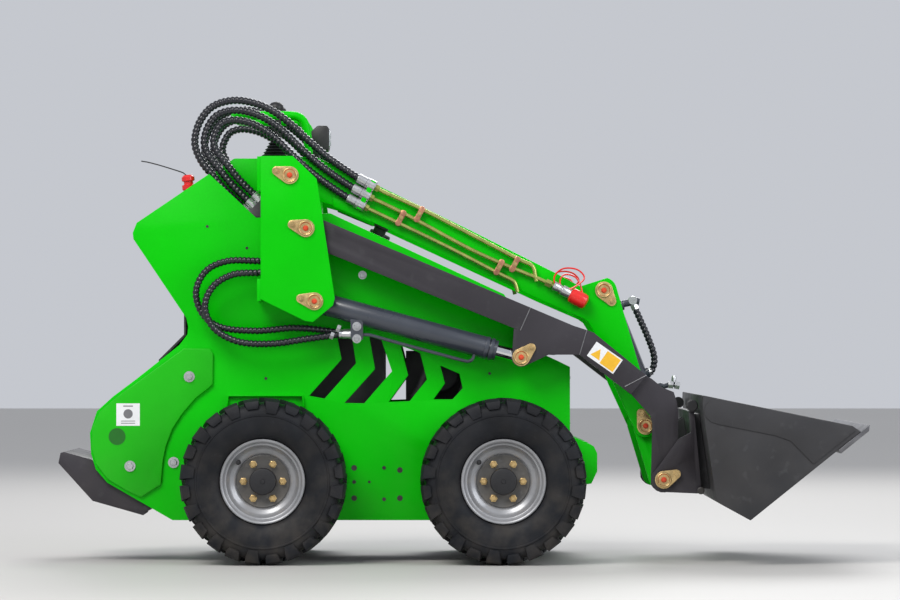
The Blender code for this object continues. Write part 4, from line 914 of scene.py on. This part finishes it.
piece("handrail_look", bm, GREEN, "chassis", ("handrail",), sharp=50)
bm = bmesh.new()
for y in (-0.165, 0.165):
    add_lathe(bm, [(0.0125, 0), (0.024, 0), (0.024, 0.004), (0.0125, 0.004)],
              aim((-0.422, y, 1.1223), (0, 0, 1)), 28)
piece("rail_feet", bm, GREEN, "chassis")

# foot platform: raised tread lozenges
tread_low, tread_high = Vector((-0.861, 0, 0.150)), Vector((-1.022, 0, 0.283))
up_tread = (tread_high - tread_low).normalized()
out_tread = Vector((up_tread.z, 0, -up_tread.x))
bm = bmesh.new()
for row in range(9):
    for col in range(14):
        spot = tread_low + up_tread * (0.020 + 0.021 * row) + out_tread * 0.0001
        spot = spot + Vector((0, -0.215 + 0.0325 * col + (0.016 if row % 2 else 0), 0))
        turn = radians(45 if (row + col) % 2 else -45)
        add_lathe(bm, [(0.008, 0), (0.006, 0.0016), (0, 0.0018)],
                  aim(spot, out_tread, turn) @ Matrix.Diagonal((1.0, 0.36, 1.0, 1.0)), 8)
piece("tread_lozenges", bm, DARK, "chassis")

# ---- arm and bucket trim ---------------------------------------------------------------------
for side, tag in SIDES:
    face = side * (LOWER_ARM_Y + 0.0001)
    bm = bmesh.new()
    for start, end in (((0.196, 0.704), (0.168, 0.641)), ((0.351, 0.642), (0.331, 0.574)),
                       ((0.455, 0.486), (0.515, 0.517))):
        points = [(start[0] + (end[0] - start[0]) * k / 3, face,
                   start[1] + (end[1] - start[1]) * k / 3) for k in range(4)]
        add_tube(bm, points, 0.0017, 8, 0.006)
    piece("arm_welds_" + tag, bm, EDGE, "lower_arms")
    bm = bmesh.new()
    slope_down = radians(-35.1)
    across, up = (cos(slope_down), sin(slope_down)), (-sin(slope_down), cos(slope_down))
    centre = (0.4004, 0.5656)

    def on_label(u, v):
        return (centre[0] + across[0] * u + up[0] * v, centre[1] + across[1] * u + up[1] * v)

    add_prism(bm, [on_label(-0.044, -0.0235), on_label(0.044, -0.0235),
                   on_label(0.044, 0.0235), on_label(-0.044, 0.0235)],
              face, side * (LOWER_ARM_Y + 0.0006))
    piece("arm_label_" + tag, bm, WHITE, "lower_arms")
    bm = bmesh.new()
    for outline in ([(-0.004, -0.020), (0.040, -0.020), (0.040, 0.020), (-0.004, 0.020)],
                    [(-0.038, -0.015), (-0.008, -0.015), (-0.023, 0.013)]):
        add_prism(bm, [on_label(u, v) for u, v in outline], side * (LOWER_ARM_Y + 0.0006),
                  side * (LOWER_ARM_Y + 0.0009))
    piece("arm_label_print_" + tag, bm, YELLOW, "lower_arms")
    bm = bmesh.new()
    add_prism(bm, [(-0.351, 0.986), (-0.351, 1.013), (-0.300, 0.990), (-0.246, 0.949),
                   (-0.250, 0.944)], side * (UPPER_ARM_Y + 0.0001), side * (UPPER_ARM_Y + 0.003))
    piece("arm_doubler_" + tag, bm, GREEN, "upper_arms", bevel=0.0008)
    bm = bmesh.new()
    add_lathe(bm, [(0.017, 0), (0.031, 0), (0.031, 0.004), (0.029, 0.005), (0.017, 0.005)],
              aim(at(B, side * (LOWER_ARM_Y + 0.0001)), (0, side, 0)), 36)
    piece("arm_boss_" + tag, bm, DARK, "lower_arms")
    # bucket cheek: a doubler along the top, and bolts through the edge
    cheek_y = 0.497 * side
    bm = bmesh.new()
    add_prism(bm, [(0.704, 0.4545), (0.684, 0.4500), (0.670, 0.4380), (0.664, 0.4220),
                   (0.668, 0.4060), (0.682, 0.3920), (0.704, 0.3850), (0.856, 0.355),
                   (0.899, 0.340), (0.922, 0.317), (0.961, 0.277), (1.075, 0.368), (1.062, 0.381)],
              cheek_y, side * 0.4998)
    piece("bucket_cheek_" + tag, bm, BUCKET, "attachment", bevel=0.001)
    bm = bmesh.new()
    for x, z, r in ((0.640, 0.4340, 0.0165), (0.664, 0.200, 0.010)):
        add_lathe(bm, [(0, 0), (r, 0), (r, 0.010), (r - 0.003, 0.012), (0, 0.012)],
                  aim((x, side * (HITCH_Y + 0.0002), z), (0, side, 0)), 24)
    piece("hitch_latch_" + tag, bm, BLACK, "attachment")

turn = radians(38.75)
fore = Vector((cos(turn), 0, sin(turn)))
under = Vector((sin(turn), 0, -cos(turn)))
heel = Vector((0.790, 0, 0.124))
edge_end = 0.4154
bm = bmesh.new()
for k in range(7):
    spot = heel + fore * (edge_end - 0.075) + under * 0.0123 + Vector((0, -0.42 + 0.14 * k, 0))
    add_lathe(bm, [(0, 0), (0.012, 0), (0.011, 0.003), (0.006, 0.0045), (0, 0.0048)],
              aim(spot, under), 20)
piece("edge_bolts", bm, STEEL, "attachment")

# ---- surroundings ----------------------------------------------------------------------------
floor_mat = bpy.data.materials.new("studio_floor")
floor_mat.use_nodes = True
tree = floor_mat.node_tree
shader = tree.nodes["Principled BSDF"]
shader.inputs["Roughness"].default_value = 0.6
noise = tree.nodes.new("ShaderNodeTexNoise")
noise.inputs["Scale"].default_value = 3.0
noise.inputs["Detail"].default_value = 8.0
ramp = tree.nodes.new("ShaderNodeValToRGB")
ramp.color_ramp.elements[0].color = (0.50, 0.488, 0.468, 1)
ramp.color_ramp.elements[1].color = (0.58, 0.567, 0.545, 1)
tree.links.new(noise.outputs["Fac"], ramp.inputs["Fac"])
tree.links.new(ramp.outputs["Color"], shader.inputs["Base Color"])
bm = bmesh.new()
bmesh.ops.create_grid(bm, x_segments=1, y_segments=1, size=30.0)
mesh = bpy.data.meshes.new("studio_floor")
bm.to_mesh(mesh)
bm.free()
floor = bpy.data.objects.new("studio_floor", mesh)
floor.location.z = -0.0005
bpy.context.scene.collection.objects.link(floor)
mesh.materials.append(floor_mat)

world = bpy.data.worlds.new("studio")
bpy.context.scene.world = world
world.use_nodes = True
world.node_tree.nodes["Background"].inputs["Color"].default_value = (0.90, 0.93, 1.0, 1)
world.node_tree.nodes["Background"].inputs["Strength"].default_value = 0.62


def area_light(name, place, target, size, power, colour=(1, 1, 1)):
    lamp = bpy.data.lights.new(name, "AREA")
    lamp.shape = "DISK"
    lamp.size = size
    lamp.energy = power
    lamp.color = colour
    obj = bpy.data.objects.new(name, lamp)
    obj.location = place
    obj.rotation_euler = (Vector(target) - Vector(place)).to_track_quat("-Z", "Y").to_euler()
    bpy.context.scene.collection.objects.link(obj)


area_light("key", (-3.0, -5.0, 6.0), (0, 0, 0.5), 4.0, 430, (1.0, 0.98, 0.95))
area_light("fill", (5.0, -4.0, 3.0), (0, 0, 0.5), 4.0, 160, (0.93, 0.96, 1.0))
area_light("back", (1.0, 6.0, 5.0), (0, 0, 0.5), 4.0, 260)

camera = bpy.data.cameras.new("camera")
camera.sensor_width = 36.0
camera.lens = 166.16
camera.clip_end = 200.0
view = bpy.data.objects.new("camera", camera)
view.location = (-0.026, -11.78, 0.587)
aim_at = Vector((-0.026, 0.0, 0.7288))
view.rotation_euler = (aim_at - view.location).to_track_quat("-Z", "Y").to_euler()
bpy.context.scene.collection.objects.link(view)
bpy.context.scene.camera = view
bpy.context.scene.view_settings.view_transform = "Standard"
